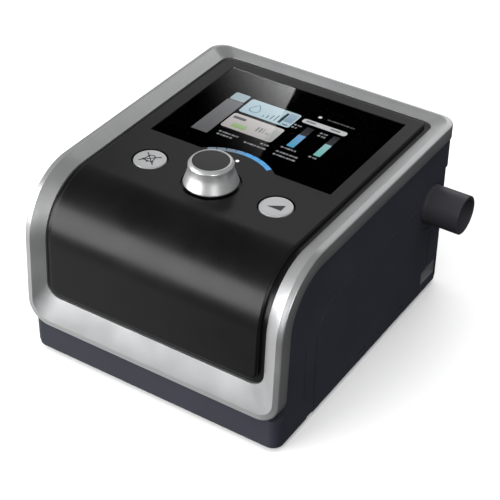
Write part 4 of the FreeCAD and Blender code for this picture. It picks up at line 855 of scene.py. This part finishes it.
def arc_finish():
    """Blue glow to the right of the knob's middle, a painted grey glow on the unlit left, with a soft change
    between.
    """
    material = finish("lit_arc", (0.02, 0.04, 0.06), 0.35, grain=0.5, bump=0.01, specular=0.3)
    tree = material.node_tree
    shader = tree.nodes["Principled BSDF"]
    place = tree.nodes.new("ShaderNodeTexCoord")
    split = tree.nodes.new("ShaderNodeSeparateXYZ")
    where = tree.nodes.new("ShaderNodeMapRange")
    where.inputs["From Min"].default_value = (knob[0] + FADE_FROM) * MM
    where.inputs["From Max"].default_value = (knob[0] + FADE_TO) * MM
    tone = tree.nodes.new("ShaderNodeValToRGB")
    # Painted light: the unlit left part of the guide glows with this grey.
    tone.color_ramp.elements[0].color = (0.16, 0.18, 0.21, 1)
    tone.color_ramp.elements[1].color = (0.07, 0.34, 0.72, 1)
    tree.links.new(place.outputs["Object"], split.inputs[0])
    tree.links.new(split.outputs["X"], where.inputs["Value"])
    tree.links.new(where.outputs["Result"], tone.inputs["Fac"])
    tree.links.new(tone.outputs["Color"], shader.inputs["Emission Color"])
    shader.inputs["Emission Strength"].default_value = ARC_LIGHT
    return material


FINISHES["lit_arc"] = arc_finish()
FINISHES["index_light"] = finish("index_light", (0.7, 0.7, 0.7), 0.4, grain=0.4, bump=0.01,
                                 glow=((1.0, 1.0, 1.0), 0.9))
print("arc of light over", DIAL_TO - DIAL_FROM, "degrees")

# %% [markdown]
# ## Display
# Under a clear window lies a black panel with a picture: cards, gauges and small bars in place of
# words. Every patch of the picture is a flat tile with its own colour in a mesh attribute, so the whole
# picture is one piece with one material, and it stays sharp at any distance. Tiles are placed in
# millimetres from the middle of the case, and a tile on top of another lies one layer higher.

# %% Picture tiles
glass_top = span("display_glass")[1][2]
TILES = []


def tile(x_low, x_high, y_low, y_high, colour, colour_top=None, radius=0.3, layer=0):
    """Rounded rectangle in case millimetres; the colour runs from the front edge to the rear edge."""
    TILES.append((x_low, x_high, y_low, y_high, colour, colour_top or colour, radius, layer))


def rounded_box(x_low, x_high, y_low, y_high, radius, steps=5):
    """Corner arcs of a rounded rectangle as one closed outline."""
    t = np.radians(np.linspace(0, 90, steps))
    radius = min(radius, (x_high - x_low) / 2 - 1e-3, (y_high - y_low) / 2 - 1e-3)
    made = []
    for k, (x, y) in enumerate(((x_high - radius, y_high - radius), (x_low + radius, y_high - radius),
                                (x_low + radius, y_low + radius), (x_high - radius, y_low + radius))):
        angle = t + k * np.pi / 2
        made.append(np.column_stack([x + radius * np.cos(angle), y + radius * np.sin(angle)]))
    return np.vstack(made)


INK = (0.03, 0.05, 0.06)
tile(-40.5, -30.2, 9.0, 45.0, (0.145, 0.145, 0.15), (0.24, 0.24, 0.25))
tile(-40.0, -30.6, 45.4, 53.3, (0.45, 0.55, 0.60), radius=1.0)
tile(-28.8, 3.0, 37.0, 52.0, (0.50, 0.66, 0.73), (0.58, 0.72, 0.78), radius=1.6)
tile(-29.0, 3.0, 19.5, 34.6, (0.52, 0.49, 0.48), (0.68, 0.65, 0.63), radius=1.6)
for k in range(5):
    tile(-14.8 + 2.4 * k, -14.2 + 2.4 * k, 39.0, 40.6 + 1.6 * k, INK, layer=1, radius=0.1)
tile(-4.9, -3.4, 38.6, 49.6, INK, layer=1, radius=0.1)
tile(-3.0, 2.2, 41.5, 50.5, (0.28, 0.40, 0.52), (0.42, 0.55, 0.66), layer=1, radius=0.3)
tile(-1.9, 1.4, 38.4, 39.3, (0.08, 0.12, 0.15), layer=1, radius=0.1)
tile(-24.0, -15.0, 21.6, 26.0, (0.33, 0.48, 0.20), (0.45, 0.58, 0.33), layer=1, radius=1.0)
tile(-27.4, -19.5, 29.6, 32.0, (0.16, 0.16, 0.17), layer=1, radius=0.4)
for k, wide in enumerate((1.0, 1.0, 0.5)):
    tile(-10.2 + 2.0 * k, -10.2 + 2.0 * k + wide, 24.6, 29.2, (0.24, 0.24, 0.25), layer=1, radius=0.2)
tile(-4.2, -1.8, 25.0, 26.4, (0.35, 0.35, 0.36), layer=1, radius=0.2)
tile(-2.0, 2.4, 20.2, 31.5, (0.42, 0.43, 0.42), (0.52, 0.54, 0.50), layer=1, radius=0.6)
tile(11.2, 15.6, 35.2, 43.6, (0.055, 0.055, 0.06), (0.03, 0.03, 0.035))
tile(11.2, 15.6, 22.0, 35.0, (0.10, 0.42, 0.62), (0.22, 0.42, 0.72))
tile(27.5, 31.5, 35.0, 43.9, (0.055, 0.055, 0.06), (0.03, 0.03, 0.035))
tile(27.5, 31.5, 22.0, 34.8, (0.20, 0.55, 0.50), (0.36, 0.60, 0.62))
tile(5.5, 32.5, 46.4, 50.6, (0.66, 0.66, 0.66), radius=1.5)
tile(7.6, 13.4, 48.0, 49.2, (0.2, 0.2, 0.2), layer=1, radius=0.2)
tile(22.5, 28.5, 48.0, 49.2, (0.2, 0.2, 0.2), layer=1, radius=0.2)
tile(10.9, 12.9, 54.9, 56.9, (0.85, 0.85, 0.85), radius=0.4)
print(len(TILES), "tiles for cards and gauges")

# %% [markdown]
# Words on a display would be unreadable at this size, and would tie the machine to one maker's menu. A
# row of short bars of uneven length reads as a line of words from a distance, and says nothing.

# %% Rows of bars
WORD_ROWS = (
    (-26, -14, 14.6), (-25.6, -16, 11.8), (-9, 4.6, 12.6), (9.6, 22.6, 14.8), (9.6, 23.6, 11.6),
    (9.6, 18.6, 19.6), (26.4, 31, 19.6), (-1, 4, 16.2), (3.8, 8.4, 42.2), (3.8, 7.4, 39.4),
    (19.8, 24.4, 42.4), (19.8, 24.6, 39.6),
)


def dashes(x_low, x_high, y, tall=1.3, light=0.34):
    """A row of short bars of uneven length, in place of a line of words."""
    x, k = x_low, 0
    while x < x_high - 0.4:
        wide = min((1.5, 0.8, 2.1, 1.1)[k % 4], x_high - x)
        tile(x, x + wide, y - tall / 2, y + tall / 2, (light, light, light * 1.05), radius=0.25)
        x, k = x + wide + (0.45 if k % 3 else 0.8), k + 1


dashes(16.6, 33.0, 56.0, 1.1, 0.16)
for x_low, x_high, y in WORD_ROWS:
    dashes(x_low, x_high, y)
print(len(TILES), "tiles with the rows of bars")

# %% [markdown]
# The moisture card carries a drop. Its outline is a circle whose width shrinks towards the top: the
# sine of the angle times a power of the sine of half the angle.

# %% Drop
def drop_outline(x, y, size):
    """Water drop: a circle below that closes to a point above."""
    t = np.linspace(0, 2 * np.pi, 36, endpoint=False)
    shape = np.column_stack([np.sin(t) * np.sin(t / 2) ** 1.5, np.cos(t)])
    return np.array([x, y]) + size * shape


def ribbon_loop(flat, thick):
    """A thin band that follows a closed outline: the outline and the same one drawn in towards its middle."""
    middle = flat.mean(axis=0)
    reach = np.linalg.norm(flat - middle, axis=1, keepdims=True)
    return flat, middle + (flat - middle) * (1 - thick / reach)


outer_drop, inner_drop = ribbon_loop(drop_outline(-21.6, 44.4, 4.6), 0.65)
print("drop of", len(outer_drop), "points")

# %% [markdown]
# All tiles go into one mesh: a face for each outline, a height for each layer, and a colour at every
# point that runs from the tile's front edge to its rear edge. A plain black print lies just below.

# %% Picture mesh
PICTURE_LIFT, LAYER_STEP = 0.04, 0.05


def picture_mesh():
    """All tiles and the drop as one mesh of flat faces, with a colour at every point."""
    points, faces, colours, start = [], [], [], 0
    for x_low, x_high, y_low, y_high, low, high, radius, layer in TILES:
        flat = rounded_box(x_low, x_high, y_low, y_high, radius)
        share = ((flat[:, 1] - y_low) / (y_high - y_low))[:, None]
        colours.append(np.array(low) * (1 - share) + np.array(high) * share)
        height = np.full(len(flat), glass_top + PICTURE_LIFT + LAYER_STEP * layer)
        points.append(np.column_stack([flat[:, 0] + mid_x, flat[:, 1], height]))
        faces.append(list(range(start, start + len(flat))))
        start += len(flat)
    n = len(outer_drop)
    both = np.vstack([outer_drop, inner_drop])
    height = np.full(2 * n, glass_top + PICTURE_LIFT + LAYER_STEP)
    points.append(np.column_stack([both[:, 0] + mid_x, both[:, 1], height]))
    colours.append(np.tile((0.13, 0.30, 0.36), (2 * n, 1)))
    around = np.arange(n)
    follow = np.roll(around, -1)
    faces += (start + np.column_stack([around, follow, follow + n, around + n])).tolist()
    mesh = bpy.data.meshes.new("picture")
    mesh.from_pydata((np.vstack(points) * MM).tolist(), [], faces)
    layer = mesh.color_attributes.new("picture", "FLOAT_COLOR", "POINT")
    colours = np.vstack(colours)
    layer.data.foreach_set("color", np.column_stack([colours, np.ones(len(colours))]).ravel())
    normals = np.array([p.normal.z for p in mesh.polygons])
    if normals.mean() < 0:
        mesh.flip_normals()
    return mesh


def picture_finish():
    """The attribute's colour as light from the picture."""
    material = finish("picture", (0.01, 0.01, 0.01), 0.4, grain=0.2, bump=0.002, specular=0.0)
    tree = material.node_tree
    shader = tree.nodes["Principled BSDF"]
    colour = tree.nodes.new("ShaderNodeVertexColor")
    colour.layer_name = "picture"
    tree.links.new(colour.outputs["Color"], shader.inputs["Emission Color"])
    shader.inputs["Emission Strength"].default_value = 1.0
    return material


FINISHES["picture"] = picture_finish()
add_piece("display_picture", picture_mesh(), "case", "display", FINISHES["picture"])
FINISHES["black_print"] = finish("black_print", (0.002, 0.002, 0.0022), 0.6, grain=0.3, bump=0.001,
                                 specular=0.0)
print_points, print_sides, print_caps = prism(window_outline(0.1), glass_top + 0.005, glass_top + 0.03)
add_piece("display_mask", mesh_of("display_mask", print_points, [print_sides, print_caps]), "case", "display",
          FINISHES["black_print"])

# %% [markdown]
# The real window is a clear pane over the display. It is kept thin, so that the picture sits close
# under it, and smooth, so that it mirrors the card sharply.

# %% Window glass
PANE_THICK, PANE_IOR = 0.3, 1.45


def clear_glass():
    """Thin clear pane: all light goes through, and the surface keeps its sharp reflection."""
    material = finish("clear_window", (0.90, 0.91, 0.92), 0.02, grain=3.0, bump=0.0, drift=0.02)
    shader = material.node_tree.nodes["Principled BSDF"]
    shader.inputs["Transmission Weight"].default_value = 1.0
    shader.inputs["IOR"].default_value = PANE_IOR
    return material


FINISHES["clear_window"] = clear_glass()
pane_points, pane_sides, pane_caps = prism(window_outline(0.0), window_high[2] - PANE_THICK, window_high[2])
add_piece("window_pane", mesh_of("window_pane", pane_points, [pane_sides, pane_caps]), "case",
          "dark_glass", FINISHES["clear_window"], "display_window")

# %% [markdown]
# ## Air outlet
# The tube that the breathing hose goes on: a plain sleeve with a flange behind the wall and softly
# broken edges at its mouth. Its profile is a closed loop, so the bore is part of the same surface.

# %% Outlet tube
outlet_low, outlet_high = span("air_outlet")
outlet_mid = centre("air_outlet")
wall_x = span("main_housing")[1][0]
end = outlet_high[0]
BORE, TUBE, NECK, FLANGE, FLANGE_THICK, SOFT_EDGE = 9.2, 11.0, 11.25, 14.0, 1.6, 0.45
tube_profile = rounded([
    (BORE, outlet_low[0]), (FLANGE, outlet_low[0]), (FLANGE, outlet_low[0] + FLANGE_THICK),
    (NECK, outlet_low[0] + FLANGE_THICK), (NECK, wall_x + 0.5), (TUBE, wall_x + 1.2), (TUBE, end),
    (BORE, end), (BORE, outlet_low[0] + 8),
], SOFT_EDGE)
tube_points, tube_faces = revolve(tube_profile, (0, outlet_mid[1], outlet_mid[2]), 128, axis="x")
add_piece("outlet_tube", mesh_of("outlet_tube", tube_points, tube_faces), "case", "outlet_plastic",
          FINISHES["outlet_plastic"], "air_outlet", angle=50)

# %% [markdown]
# ## Finishes on the CAD nodes
# The solids that keep their shape get the finish of their slot. The dial's light guide and the index
# light have a glow of their own, and the guide's unlit part has a painted grey glow as well. The
# docking connector is a darker grey than the inner parts of its slot.

# %% Hand out the finishes
SPECIAL = {"dial_light_guide": "lit_arc", "index_light_pipe": "index_light",
           "dock_connector": "connector_grey"}
for name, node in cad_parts.items():
    slot_name = node.data.materials[0].name.split(".")[0]
    node.data.materials[0] = FINISHES[SPECIAL.get(name, slot_name)]
print("finished", len(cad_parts), "nodes")
